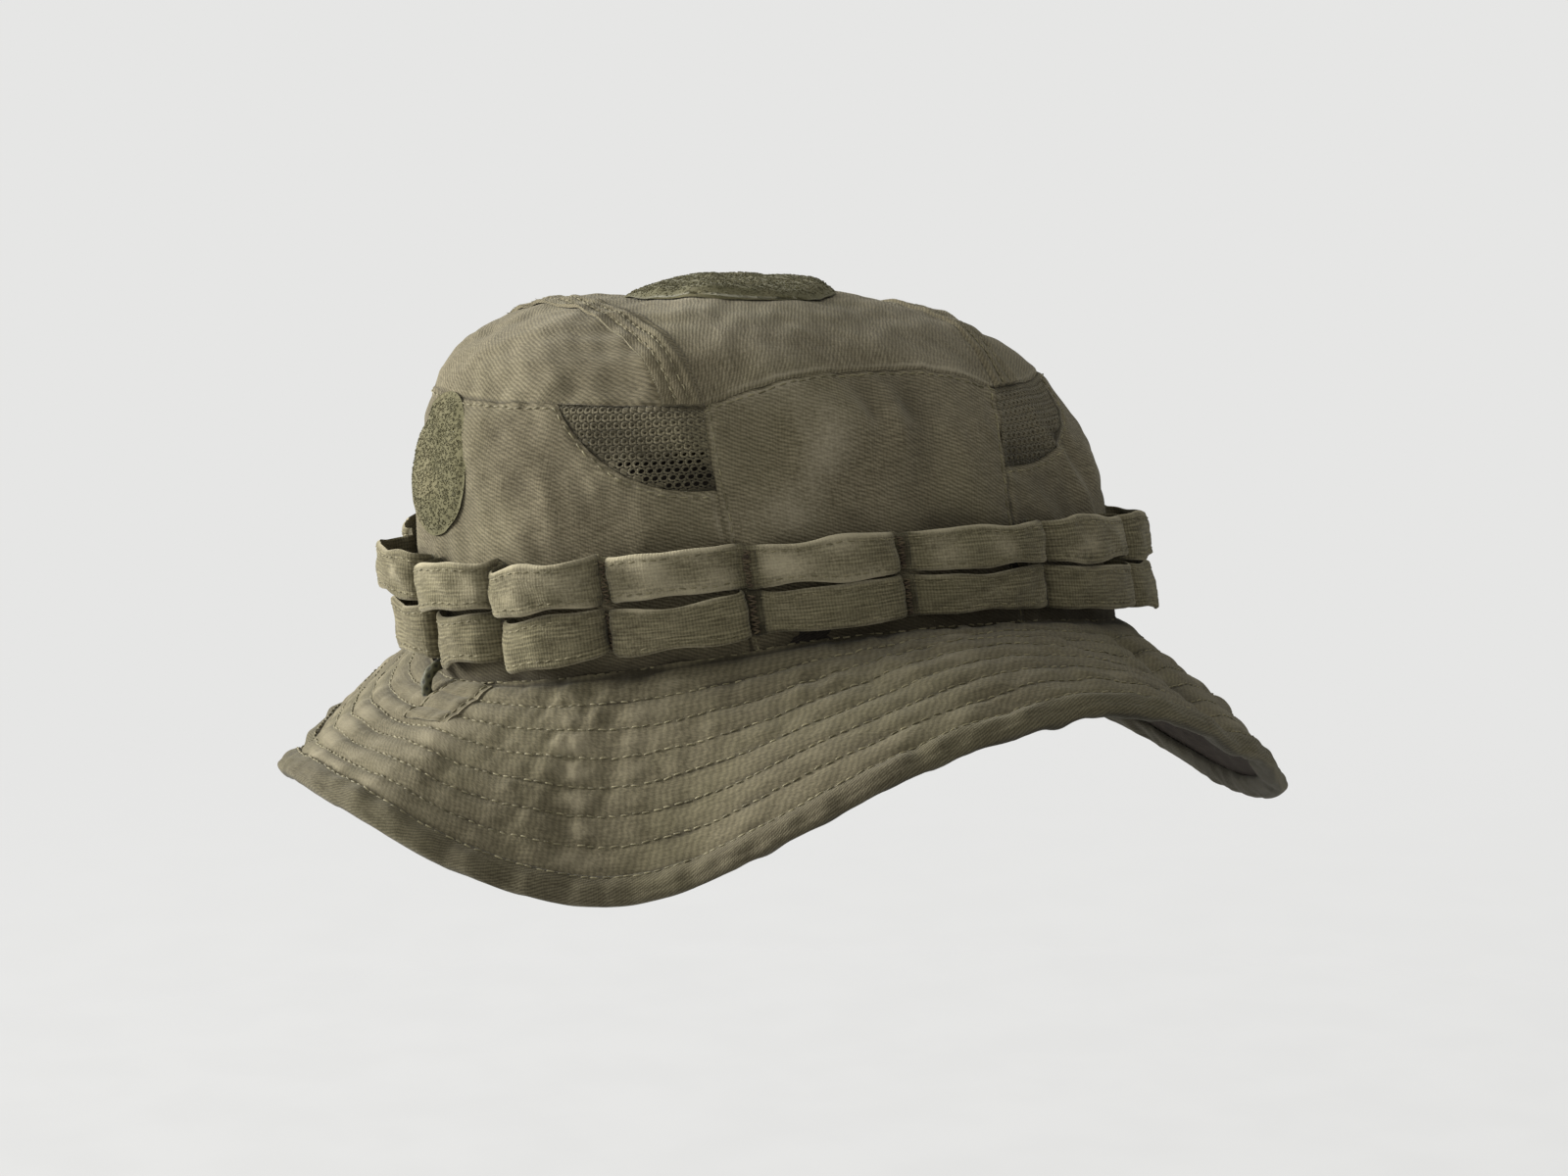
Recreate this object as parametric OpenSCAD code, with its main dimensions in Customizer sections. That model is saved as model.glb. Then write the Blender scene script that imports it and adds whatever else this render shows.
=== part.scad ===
// Boonie hat: a soft cloth sun hat with a panelled crown, mesh vents, two rows of
// open webbing loops, a stitched brim, and a drawcord with a cord lock at the rear.
// Millimetres. +Z is up, +Y the front, -Y the rear and +X one side of the hat.
// The origin is the centre of the head opening, level with the crown-to-brim seam.
// Azimuths t are in degrees: 0 at the rear, 90 at +X, 180 at the front.

/* [Crown] */
// Outer half length of the crown at the brim seam, rear to front
crown_half_length = 102; // [98:1:106]
// Outer half width of the crown at the brim seam
crown_half_width = 86; // [83:1:89]
// Height of the crown cloth above the brim seam
crown_height = 96; // [92:1:100]
// How far the top of the crown leans to the rear
crown_lean = 12; // [8:1:14]
// Rise of the brim seam at the sides, and its fall at the two ends
seam_saddle = 8; // [6:0.5:9]
// Thickness of the crown cloth
cloth = 1.2; // [1.0:0.1:1.2]

/* [Brim] */
// Width of the brim from the seam to the edge, before the rear is drawn in
brim_width = 64; // [60:1:68]
// Average droop of the brim below level, in degrees
brim_droop = 36; // [32:1:40]
// Thickness of one brim ply
ply = 0.9; // [0.7:0.1:0.9]
// Width of the bound edge
binding_width = 8; // [7:0.5:9]

/* [Webbing] */
// Width of one row of webbing
webbing_width = 12.6; // [11:0.2:12.8]
// Thickness of the webbing
webbing_thickness = 1.4; // [1.0:0.1:1.6]
// How far a loop at the side stands off the crown
loop_stand_off = 9; // [8:0.5:10]
// How much further the loops at the front corners stand off
front_loop_extra = 5; // [0:0.5:6]

/* [Sweatband and drawcord] */
// Height of the sweatband above the seam
sweatband_height = 33; // [30:1:36]
// Diameter of the drawcord
cord_d = 3.2; // [2.8:0.1:3.2]

/* [Cord lock] */
// Outer diameter of the barrel
lock_d = 12.5; // [12:0.1:13]
// Length of the barrel
lock_length = 17; // [16.5:0.5:18]
// Diameter of the plunger
plunger_d = 8; // [7.6:0.1:8]
// How far the plunger can be pressed
plunger_travel = 3; // [2.5:0.1:3]

/* [Hidden] */

cloth_colour = [0.36, 0.34, 0.26];
mesh_colour = [0.24, 0.23, 0.18];
webbing_colour = [0.33, 0.31, 0.24];
pile_colour = [0.31, 0.30, 0.20];
dark_colour = [0.14, 0.12, 0.11];
cord_colour = [0.17, 0.18, 0.13];

// Superellipse powers of the crown: square at the rear, round at the front
crown_power = 4.25;
rear_power = 3.6;
front_power = 1.85;

panel_gap = 0.2;          // half the gap between two panels, in degrees of azimuth
height_gap = 0.002;       // the same gap as a share of the crown's height
raised = 0.7;             // a piece that lies on the crown starts this far above it

// The side panel's corner azimuths, at the seam and at its top edge
side_rear_t = 64.5;
side_rear_top_t = 61.5;
side_front_t = 112.5;
side_front_top_t = 121;

// ---------------------------------------------------------------- the surfaces

function lerp(a, b, f) = a + (b - a) * f;

// A smooth bump of height 1 around one azimuth
function bump(t, centre, spread) =
    let (d = (t - centre + 900) % 360 - 180)
    exp(-0.5 * pow(d / spread, 2));

function roundness(t) = lerp(rear_power, front_power, (1 - cos(t)) / 2);

// A point of the crown at azimuth t and height share h, moved outward by out
function crown_point(t, h, out) =
    let (k = pow(1 - pow(h, crown_power), 1 / roundness(t)))
    [
        (crown_half_width + out) * k * sin(t),
        -(crown_half_length + out) * k * cos(t) - crown_lean * h,
        crown_height * h + out * pow(h, 4) - seam_saddle * pow(1 - h, 1.5) * cos(2 * t)
    ];

// A point of the crown wall at a height in millimetres above the seam
function wall_point(t, z, out) =
    crown_point(t, max(z, 0) / crown_height, out) + [0, 0, min(z, 0)];

// The height share of the crown above a point of the plan, found by iteration
function roof_share(x, y, h = 0.95, steps = 10) =
    steps == 0 ? h :
    let (
        q = [x / crown_half_width, (y + crown_lean * h) / crown_half_length],
        k = min(norm(q), 0.9995),
        n = roundness(atan2(q.x, -q.y))
    )
    roof_share(x, y, pow(1 - pow(k, n), 1 / crown_power), steps - 1);

// The point of the crown above a point of the plan, moved outward by out as on the walls
function roof_point(x, y, out) =
    let (
        h = roof_share(x, y),
        t = atan2(x / crown_half_width, -(y + crown_lean * h) / crown_half_length)
    )
    crown_point(t, h, out);

// The seam between the crown's walls and its top, as a height share
function top_seam(t) =
    let (a = abs((t + 540) % 360 - 180))
    a < side_rear_top_t ? lerp(0.772, 0.750, pow(a / side_rear_top_t, 3)) :
    a > side_front_top_t ? 0.735 :
    let (f = (a - side_rear_top_t) / (side_front_top_t - side_rear_top_t))
    lerp(0.750, 0.735, f) + 0.082 * pow(sin(180 * f), 0.8);

// The side panel's vertical seams
function side_rear(h) = lerp(side_rear_t, side_rear_top_t, h / 0.75);
function side_front(h) = lerp(side_front_t, side_front_top_t, pow(h / 0.735, 4));

// The lower edges of the mesh vents, as height shares
function vent_rear_low(t) = 0.51 + 0.262 * pow(max(side_rear_top_t - t, 0) / 28, 2.2);
function vent_front_low(t) = 0.51 + 0.225 * pow(max(t - side_front_top_t, 0) / 32, 1.6);

// How the brim hangs: its width, its average droop and how much it curls down
function brim_reach(t) =
    brim_width - 13 * bump(t, -4, 24) + 5 * bump(t, 160, 30)
    + 2 * bump(t, 46, 10) - 2 * bump(t, 88, 18);
function droop(t) =
    brim_droop + 25 * bump(t, 46, 15) - 9 * bump(t, 6, 14) - 24 * bump(t, 98, 20)
    + 18 * bump(t, 170, 26) + 5 * bump(t, -28, 14);
function curl(t) = 14 + 12 * bump(t, 95, 25) - 12 * bump(t, 0, 25) + 36 * bump(t, 185, 26);

brim_start = 0.4;         // the brim's inner edge stands this far off the crown

// A point of the brim, s millimetres from the seam along it and lift above its middle
function brim_point(t, s, lift) =
    let (
        turn = curl(t) / brim_reach(t),
        first = droop(t) - curl(t) / 2,
        here = first + turn * s,
        scale = 180 / PI / turn,
        side = (sin(here) - sin(first)) * scale,
        fall = (cos(here) - cos(first)) * scale,
        across = [crown_half_length * sin(t), -crown_half_width * cos(t)] /
            norm([crown_half_length * sin(t), -crown_half_width * cos(t)]),
        run = brim_start + side + lift * sin(here)
    )
    [
        crown_half_width * sin(t) + across.x * run,
        -crown_half_length * cos(t) + across.y * run,
        -seam_saddle * cos(2 * t) + fall + lift * cos(here)
    ];

// -------------------------------------------------------------- solid builders

// Every four-sided face split into two triangles, so that each face is flat
function split(faces) = [for (f = faces) each [[f[0], f[1], f[2]], [f[0], f[2], f[3]]]];

// The same, along the diagonal whose middle lies higher, so that layers on each other agree
function split_high(points, faces) = [for (f = faces) each
    points[f[0]].z + points[f[2]].z >= points[f[1]].z + points[f[3]].z
        ? [[f[0], f[1], f[2]], [f[0], f[2], f[3]]]
        : [[f[1], f[2], f[3]], [f[1], f[3], f[0]]]];

// A closed slab between two grids of points, each na + 1 by nb + 1 points
module slab(top, bottom, na, nb) {
    row = nb + 1;
    count = (na + 1) * row;
    skin = [for (i = [0 : na - 1], j = [0 : nb - 1])
        [i * row + j, i * row + j + 1, (i + 1) * row + j + 1, (i + 1) * row + j]];
    rim = concat(
        [for (i = [0 : na]) i * row],
        [for (j = [1 : nb]) na * row + j],
        [for (i = [na - 1 : -1 : 0]) i * row + nb],
        [for (j = [nb - 1 : -1 : 1]) j]
    );
    edge = [for (i = [0 : len(rim) - 1])
        let (a = rim[i], b = rim[(i + 1) % len(rim)])
        [a, b, b + count, a + count]];
    under = [for (f = skin) [f[3] + count, f[2] + count, f[1] + count, f[0] + count]];
    polyhedron(concat(top, bottom), split(concat(skin, under, edge)));
}

// A ring swept around the hat from a closed outline; section(i) lists its points
module swept_ring(section, steps) {
    sides = len(section(0));
    points = [for (i = [0 : steps - 1]) each section(i)];
    faces = [for (i = [0 : steps - 1], j = [0 : sides - 1])
        let (i2 = (i + 1) % steps, j2 = (j + 1) % sides)
        [i * sides + j, i * sides + j2, i2 * sides + j2, i2 * sides + j]];
    polyhedron(points, split_high(points, faces));
}

function unit(v) = v / norm(v);

// A tube along a route, with flat ends
module tube(route, radius, sides) {
    last = len(route) - 1;
    points = [for (i = [0 : last])
        let (
            along = unit(route[min(i + 1, last)] - route[max(i - 1, 0)]),
            lean_to = abs(along.z) > 0.8 ? [1, 0, 0] : [0, 0, 1],
            u = unit(cross(lean_to, along)),
            v = cross(along, u)
        )
        for (j = [0 : sides - 1])
            route[i] + radius * (u * cos(360 * j / sides) + v * sin(360 * j / sides))];
    walls = [for (i = [0 : last - 1], j = [0 : sides - 1])
        let (j2 = (j + 1) % sides)
        [i * sides + j, (i + 1) * sides + j, (i + 1) * sides + j2, i * sides + j2]];
    start = [for (j = [0 : sides - 1]) j];
    end = [for (j = [sides - 1 : -1 : 0]) last * sides + j];
    polyhedron(points, concat(split(walls), [start, end]));
}

// A panel of the crown's wall between two seams and two heights
module wall_panel(t_low, t_high, h_low, h_high, na, nb) {
    // The azimuth and height share of a point, found by iteration, as each border moves with both
    function place(u, v, h, steps = 10) =
        let (t = lerp(t_low(h), t_high(h), u))
        steps == 0 ? [t, h] : place(u, v, lerp(h_low(t), h_high(t), v), steps - 1);
    grid = [for (i = [0 : na], j = [0 : nb]) place(i / na, j / nb, 0.75 * j / nb)];
    slab(
        [for (p = grid) crown_point(p[0], p[1], 0)],
        [for (p = grid) crown_point(p[0], p[1], -cloth)],
        na, nb
    );
}

// A piece on the crown's roof: plan(u, v) gives its plan, with u and v from 0 to 1
module roof_piece(plan, out, thickness, na, nb) {
    grid = [for (i = [0 : na], j = [0 : nb]) plan(i / na, j / nb)];
    slab(
        [for (p = grid) roof_point(p.x, p.y, out)],
        [for (p = grid) roof_point(p.x, p.y, out - thickness)],
        na, nb
    );
}

module mirrored_in_x() {
    mirror([1, 0, 0]) children();
}

// ------------------------------------------------------------------- the crown

rear_tape_y = -56;        // middle of each seam tape at the crown's shoulder
front_tape_y = 41;
tape_width = 9;
tape_sweep = 3;           // the tapes bow this far towards the ends at the middle

// The middle line of a tape; end is -1 for the rear tape and 1 for the front one
function tape_y(x, end) =
    (end < 0 ? rear_tape_y : front_tape_y)
    + end * tape_sweep * (1 - pow(x / crown_half_width, 2));

// The point of the top seam at azimuth t, in plan
function seam_plan(t) =
    let (p = crown_point(t, top_seam(t) + height_gap, 0))
    [p.x, p.y];

module crown_centre_panel() {
    // Rows run across the hat, each ending on the side panels' top edges
    plan = function(u, v)
        let (edge = seam_plan(lerp(side_rear_top_t + 1, side_front_top_t - 1, v)))
        [edge.x * sin(lerp(-90, 90, u)), edge.y];
    color(cloth_colour) roof_piece(plan, 0, cloth, 16, 12);
}

// A cap between an end panel's top seam and a tape
module end_cap(end) {
    corner_t = end < 0 ? side_rear_top_t - 2 : 180 - side_front_top_t - 4;
    plan = function(u, v)
        let (
            a = lerp(-corner_t, corner_t, u),
            low = seam_plan(end < 0 ? a : 180 - a),
            x = low.x * 0.985,
            high = [x, end < 0 ? seam_plan(side_rear_top_t + 1).y - 0.6
                               : seam_plan(side_front_top_t - 1).y + 0.6]
        )
        end < 0 ? lerp(low, high, v) : lerp(high, low, v);
    color(cloth_colour) roof_piece(plan, 0, cloth, 16, 6);
}

module crown_rear_cap() {
    end_cap(-1);
}

module crown_front_cap() {
    end_cap(1);
}

module rear_panel() {
    low = function(t) 0;
    high = function(t)
        min(top_seam(t), abs(t) > 30 ? vent_rear_low(abs(t)) : 1) - height_gap;
    left = function(h) panel_gap - side_rear(h);
    right = function(h) side_rear(h) - panel_gap;
    color(cloth_colour) difference() {
        wall_panel(left, right, low, high, 20, 8);
        buttonhole_cut();
    }
}

module front_panel() {
    low = function(t) 0;
    high = function(t)
        min(top_seam(t), vent_front_low(180 - abs(t - 180))) - height_gap;
    left = function(h) side_front(h) + panel_gap;
    right = function(h) 360 - side_front(h) - panel_gap;
    color(cloth_colour) wall_panel(left, right, low, high, 20, 8);
}

module right_side_panel() {
    low = function(t) 0;
    high = function(t) top_seam(t) - height_gap;
    left = function(h) side_rear(h) + panel_gap;
    right = function(h) side_front(h) - panel_gap;
    color(cloth_colour) wall_panel(left, right, low, high, 10, 8);
}

module left_side_panel() {
    mirrored_in_x() right_side_panel();
}

module vent_rear_right() {
    tip_t = 36;
    low = function(t) vent_rear_low(t) + height_gap;
    high = function(t) top_seam(t) - height_gap;
    left = function(h) tip_t;
    right = function(h) side_rear(h) - panel_gap;
    color(mesh_colour) wall_panel(left, right, low, high, 8, 4);
}

module vent_rear_left() {
    mirrored_in_x() vent_rear_right();
}

module vent_front_right() {
    tip_t = 150;
    low = function(t) vent_front_low(t) + height_gap;
    high = function(t) top_seam(t) - height_gap;
    left = function(h) side_front(h) + panel_gap;
    right = function(h) tip_t;
    color(mesh_colour) wall_panel(left, right, low, high, 8, 4);
}

module vent_front_left() {
    mirrored_in_x() vent_front_right();
}

module seam_tape(end) {
    reach = abs(seam_plan(end < 0 ? side_rear_top_t : side_front_top_t).x) - 1;
    plan = function(u, v)
        let (x = reach * sin(lerp(-90, 90, u)))
        [x, tape_y(x, end) + tape_width * (v - 0.5)];
    color(cloth_colour) roof_piece(plan, raised + 0.9, 0.9, 28, 2);
}

module rear_seam_tape() {
    seam_tape(-1);
}

module front_seam_tape() {
    seam_tape(1);
}

// ------------------------------------------------------------ the loop patches

patch_radius = 30;
patch_y = -13;
patch_thickness = 3;
rear_patch_thickness = 1.4;
rear_patch_radius = 19;
rear_patch_z = 56;

// A round piece made of rings around its centre; spot(a, b) gives its surface points
module round_patch(spot, radius, thickness, rings, sides) {
    function disc(lift) = concat(
        [spot(0, 0, lift)],
        [for (i = [1 : rings], j = [0 : sides - 1])
            spot(radius * i / rings * cos(360 * j / sides),
                 radius * i / rings * sin(360 * j / sides), lift)]
    );
    count = 1 + rings * sides;
    function ring(i, j) = 1 + (i - 1) * sides + j % sides;
    face = concat(
        [for (j = [0 : sides - 1]) [0, ring(1, j + 1), ring(1, j)]],
        split([for (i = [1 : rings - 1], j = [0 : sides - 1])
            [ring(i, j), ring(i, j + 1), ring(i + 1, j + 1), ring(i + 1, j)]])
    );
    back = [for (f = face) [for (k = [len(f) - 1 : -1 : 0]) f[k] + count]];
    edge = split([for (j = [0 : sides - 1])
        [ring(rings, j), ring(rings, j + 1), ring(rings, j + 1) + count, ring(rings, j) + count]]);
    polyhedron(concat(disc(thickness), disc(0)), concat(face, back, edge));
}

module top_loop_patch() {
    spot = function(a, b, lift) roof_point(a, patch_y + b, raised + lift);
    color(pile_colour) round_patch(spot, patch_radius, patch_thickness, 4, 28);
}

module rear_loop_patch() {
    spot = function(a, b, lift)
        wall_point(asin(a / crown_half_width), rear_patch_z + b, raised + lift);
    color(pile_colour) round_patch(spot, rear_patch_radius, rear_patch_thickness, 3, 24);
}

// ----------------------------------------------------------------- the webbing

// Azimuths of the bartacks, sewn at uneven steps round the crown
bartack_azimuths = [4.5, 23, 43, 65.5, 89.5, 116, 143, 171, 200, 229, 257, 284, 311, 338.5];
loops = len(bartack_azimuths);
row_z = [7.2, 20.6];      // the lower edge of each row above the seam
row_drop = 3;             // both rows run this much lower at the front
webbing_base = 0.6;       // the webbing's back stands this far off the crown at a bartack
loop_shares = [0, 0.04, 0.16, 0.33, 0.5, 0.67, 0.84, 0.96];   // it lies flat at both ends

function bartack_t(k) = bartack_azimuths[k % loops] + 360 * floor(k / loops);

function loop_out(k) =
    let (middle = (bartack_t(k) + bartack_t(k + 1)) / 2)
    loop_stand_off + front_loop_extra * (bump(middle, 156, 15) + bump(middle, 204, 15));

// The height of a row's lower edge
function row_low(row, t) = row_z[row] - row_drop * bump(t, 180, 30);

module webbing_row(row) {
    flat = loop_shares[1];
    section = function(i)
        let (
            k = floor(i / len(loop_shares)),
            f = loop_shares[i % len(loop_shares)],
            rise = max(f - flat, 0) / (1 - 2 * flat),
            t = lerp(bartack_t(k), bartack_t(k + 1), f),
            stand = webbing_base + loop_out(k) * pow(sin(180 * min(rise, 1)), 0.7),
            z = row_low(row, t)
        )
        [
            wall_point(t, z, stand),
            wall_point(t, z + webbing_width, stand),
            wall_point(t, z + webbing_width, stand + webbing_thickness),
            wall_point(t, z, stand + webbing_thickness)
        ];
    color(webbing_colour) swept_ring(section, loops * len(loop_shares));
}

module webbing_upper() {
    webbing_row(1);
}

module webbing_lower() {
    webbing_row(0);
}

// A dense bar of stitches over the webbing at a bartack
module bartack(row, t) {
    half_width = 0.9;
    thickness = 0.6;
    margin = 1;
    out = webbing_base + webbing_thickness + 0.3;
    step = half_width / norm([crown_half_width * cos(t), crown_half_length * sin(t)]) * 180 / PI;
    z = row_low(row, t) + margin;
    top = z + webbing_width - 2 * margin;
    function side(q, lift) = [
        wall_point(q, z, out + lift),
        wall_point(q, top, out + lift)
    ];
    corners = concat(
        side(t - step, 0), side(t + step, 0), side(t + step, thickness), side(t - step, thickness));
    sides = [for (i = [0 : 3]) let (j = (i + 1) % 4) [2 * i, 2 * j, 2 * j + 1, 2 * i + 1]];
    polyhedron(corners, split(concat(sides, [[6, 4, 2, 0], [1, 3, 5, 7]])));
}

module webbing_bartacks() {
    color(cloth_colour)
    for (k = [0 : loops - 1], row = [0, 1]) {
        bartack(row, bartack_t(k));
    }
}

// ------------------------------------------------- the sweatband and drawcord

channel_out = -4.45;      // the cord's middle, measured from the crown's outside
channel_z = 0.2;
hoop_steps = 60;

// The band's outline as distances outward and heights: a strip with a turned-up hem
band_outline = [
    [-1.6, sweatband_height], [-1.6, -2.6], [-2.4, -3.4], [-6.2, -3.4], [-7.2, -2.4],
    [-7.2, 4.5], [-4.0, 8.6], [-3.0, 8.6], [-6.3, 4.2], [-6.3, -2.0], [-5.8, -2.5],
    [-3.0, -2.5], [-2.6, -2.1], [-2.6, sweatband_height]
];

module sweatband() {
    section = function(i)
        [for (q = band_outline) wall_point(360 * i / hoop_steps, q.y, q.x)];
    color(dark_colour) difference() {
        swept_ring(section, hoop_steps);
        buttonhole_cut();
    }
}

// The slot through the crown and the sweatband where the cord comes out
slot_x = 1;
slot_z = -3;
slot_length = 13;
slot_height = 4.2;

module buttonhole_cut() {
    translate([slot_x, -101, slot_z])
        cube([slot_length, 5, slot_height], center = true);
}

module cord_buttonhole() {
    stitch = 0.9;
    wall_tilt = atan(crown_lean / (crown_height + 1.5 * seam_saddle));
    color(cloth_colour)
    translate([slot_x, -102.85, slot_z])
        rotate([90 + wall_tilt, 0, 0])
        linear_extrude(0.8)
        difference() {
            square([slot_length + 2 * stitch, slot_height + 2 * stitch], center = true);
            square([slot_length, slot_height], center = true);
        }
}

// The cord's turn out of the channel, and its free tail down to the knot
turn_route = [[-9, -97.1, -7.6], [-6, -97.3, -6.2], [-3.4, -98, -4.4], [-0.8, -99.8, -3.2],
    [1.2, -102, -2.8]];
tail_route = [[1.2, -102, -2.8], [2.6, -104, -2.5], [3.6, -106, -2.7], [4.4, -107.8, -3.4],
    [5, -109.3, -4.6], [5.4, -110.3, -6.2], [5.6, -110.7, -8], [5.8, -110.5, -10],
    [6, -110, -12], [6, -109.2, -13.8], [6, -108.4, -15.6], [6, -107.8, -17.4],
    [6, -107.6, -19.4], [6, -107.6, -26], [6, -107.6, -32], [6, -107.6, -38],
    [6, -107.6, -44], [6, -107.6, -45]];

module drawcord() {
    ring_t = 360 / hoop_steps;
    hoop = [for (i = [2 : hoop_steps - 2]) wall_point(ring_t * i, channel_z, channel_out)];
    color(cord_colour) tube(concat(hoop, turn_route), cord_d / 2, 8);
}

module drawcord_tail() {
    color(cord_colour) tube(tail_route, cord_d / 2, 8);
}

tail_x = 6;
tail_y = -107.6;
knot_z = -45;

module tail_knot() {
    knot_d = 7.4;
    stub = 3;
    color(cord_colour) translate([tail_x, tail_y, knot_z]) {
        translate([0, 0, -2.6])
            intersection() {
                sphere(d = knot_d, $fn = 32);
                translate([0, 0, -1.4])
                    cube([knot_d, knot_d, 8], center = true);
            }
        translate([0, 0, -5.8 - stub])
            cylinder(d = cord_d, h = stub + 0.6, $fn = 24);
    }
}

// -------------------------------------------------------------------- the brim

brim_steps = 72;
edge_inset = 1.6;         // the plies stop this far inside the bound edge

// A layer of the brim, from the seam to just inside the bound edge
module brim_ply(lift, thickness) {
    rows = 3;
    function distance(t, j) =
        j > rows ? brim_reach(t) - edge_inset : (brim_reach(t) - binding_width) * j / rows;
    module ring() {
        section = function(i)
            let (t = 360 * i / brim_steps)
            concat(
                [for (j = [0 : rows + 1]) brim_point(t, distance(t, j), lift + thickness)],
                [for (j = [rows + 1 : -1 : 0]) brim_point(t, distance(t, j), lift)]
            );
        swept_ring(section, brim_steps);
    }
    difference() {
        ring();
        translate([5.9, -110, -20])
            cylinder(d = cord_d + 2.4, h = 20, $fn = 24);
    }
}

ply_gap = 0.2;
core = 0.8;

module brim_top_ply() {
    color(cloth_colour) brim_ply(core / 2 + ply_gap, ply);
}

module brim_interlining() {
    color(dark_colour) brim_ply(-core / 2, core);
}

module brim_under_ply() {
    color(dark_colour) brim_ply(-core / 2 - ply_gap - ply, ply);
}

module brim_binding() {
    inside = core / 2 + ply_gap + ply + 0.3;
    skin = 0.8;
    section = function(i)
        let (
            t = 360 * i / brim_steps,
            edge = brim_reach(t),
            outline = [
                [-binding_width, inside + skin], [-1.2, inside + skin], [0, inside - 0.5],
                [0, 0.5 - inside], [-1.2, -inside - skin], [-binding_width, -inside - skin],
                [-binding_width, -inside], [-1.2, -inside], [-1.2, inside],
                [-binding_width, inside]
            ]
        )
        [for (q = outline) brim_point(t, edge + q.x, q.y)];
    color(cloth_colour) swept_ring(section, brim_steps);
}

module brim_tab() {
    tab_start_t = 7;
    tab_end_t = 18.5;
    tab_length = 17;
    tab_lift = 2;
    na = 4;
    nb = 4;
    grid = [for (i = [0 : na], j = [0 : nb])
        [lerp(tab_start_t, tab_end_t, i / na), lerp(1.5, tab_length, j / nb)]];
    color(cloth_colour) slab(
        [for (q = grid) brim_point(q[0], q[1], tab_lift)],
        [for (q = grid) brim_point(q[0], q[1], tab_lift + 0.8)],
        na, nb
    );
}

// --------------------------------------------------------------- the cord lock

lock_z = -27;
lock_x = tail_x - 11;     // the barrel's closed end
hole_d = cord_d + 1;
bore_d = plunger_d + 0.1;
floor_x = 1.6;            // thickness of the barrel's closed end
rest_gap = 6;             // the spring's room behind the plunger at rest

module along_x() {
    rotate([0, 90, 0]) children();
}

module cord_lock_body() {
    rim = 0.8;
    color(dark_colour) translate([lock_x, tail_y, lock_z])
        difference() {
            union() {
                along_x() cylinder(d = lock_d, h = lock_length, $fn = 48);
                along_x() cylinder(d = lock_d + rim, h = 1.6, $fn = 48);
                translate([lock_length - 1.6, 0, 0])
                    along_x() cylinder(d = lock_d + rim, h = 1.6, $fn = 48);
            }
            translate([floor_x, 0, 0])
                along_x() cylinder(d = bore_d, h = lock_length, $fn = 48);
            translate([tail_x - lock_x, 0, -lock_d])
                cylinder(d = hole_d, h = 2 * lock_d, $fn = 32);
        }
}

module cord_lock_plunger() {
    inner = lock_x + floor_x + rest_gap;
    outer = lock_x + lock_length + plunger_travel + 0.4;
    head_d = lock_d - 1.5;
    head = 3.2;
    slot_start = tail_x - hole_d / 2;
    color(dark_colour) translate([0, tail_y, lock_z])
        difference() {
            union() {
                translate([inner, 0, 0])
                    along_x() cylinder(d = plunger_d, h = outer - inner + 0.1, $fn = 48);
                translate([outer, 0, 0])
                    along_x() cylinder(d = head_d, h = head, $fn = 48);
            }
            hull() {
                for (x = [slot_start + hole_d / 2, slot_start + hole_d / 2 + plunger_travel])
                    translate([x, 0, -plunger_d])
                        cylinder(d = hole_d, h = 2 * plunger_d, $fn = 32);
            }
        }
}

module cord_lock_spring() {
    turns = 3.5;
    per_turn = 12;
    coil_r = 2.9;
    wire_r = 0.35;
    from = lock_x + floor_x + wire_r + 0.05;
    to = lock_x + floor_x + rest_gap - wire_r - 0.05;
    steps = turns * per_turn;
    route = [for (i = [0 : steps])
        let (a = 360 * i / per_turn)
        [lerp(from, to, i / steps), tail_y + coil_r * cos(a), lock_z + coil_r * sin(a)]];
    color("silver") tube(route, wire_r, 6);
}

// ------------------------------------------------------------------ the output

crown_centre_panel();
crown_rear_cap();
crown_front_cap();
rear_panel();
front_panel();
right_side_panel();
left_side_panel();
vent_rear_right();
vent_rear_left();
vent_front_right();
vent_front_left();
rear_seam_tape();
front_seam_tape();
top_loop_patch();
rear_loop_patch();
webbing_upper();
webbing_lower();
webbing_bartacks();
sweatband();
drawcord();
cord_buttonhole();
brim_top_ply();
brim_interlining();
brim_under_ply();
brim_binding();
brim_tab();
drawcord_tail();
tail_knot();
cord_lock_body();
cord_lock_plunger();
cord_lock_spring();
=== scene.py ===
"""The looks of a boonie hat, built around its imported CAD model.

Surfaces are worked out in millimetres and turned into metres when a mesh is made.
Azimuths t are in degrees: 0 at the rear, 90 at +X, 180 at the front. The surface
rules repeat those of the part's own source, so that every piece lies where its solid does.
"""

import math

import bpy
import numpy as np
from mathutils import Matrix, Vector


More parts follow.
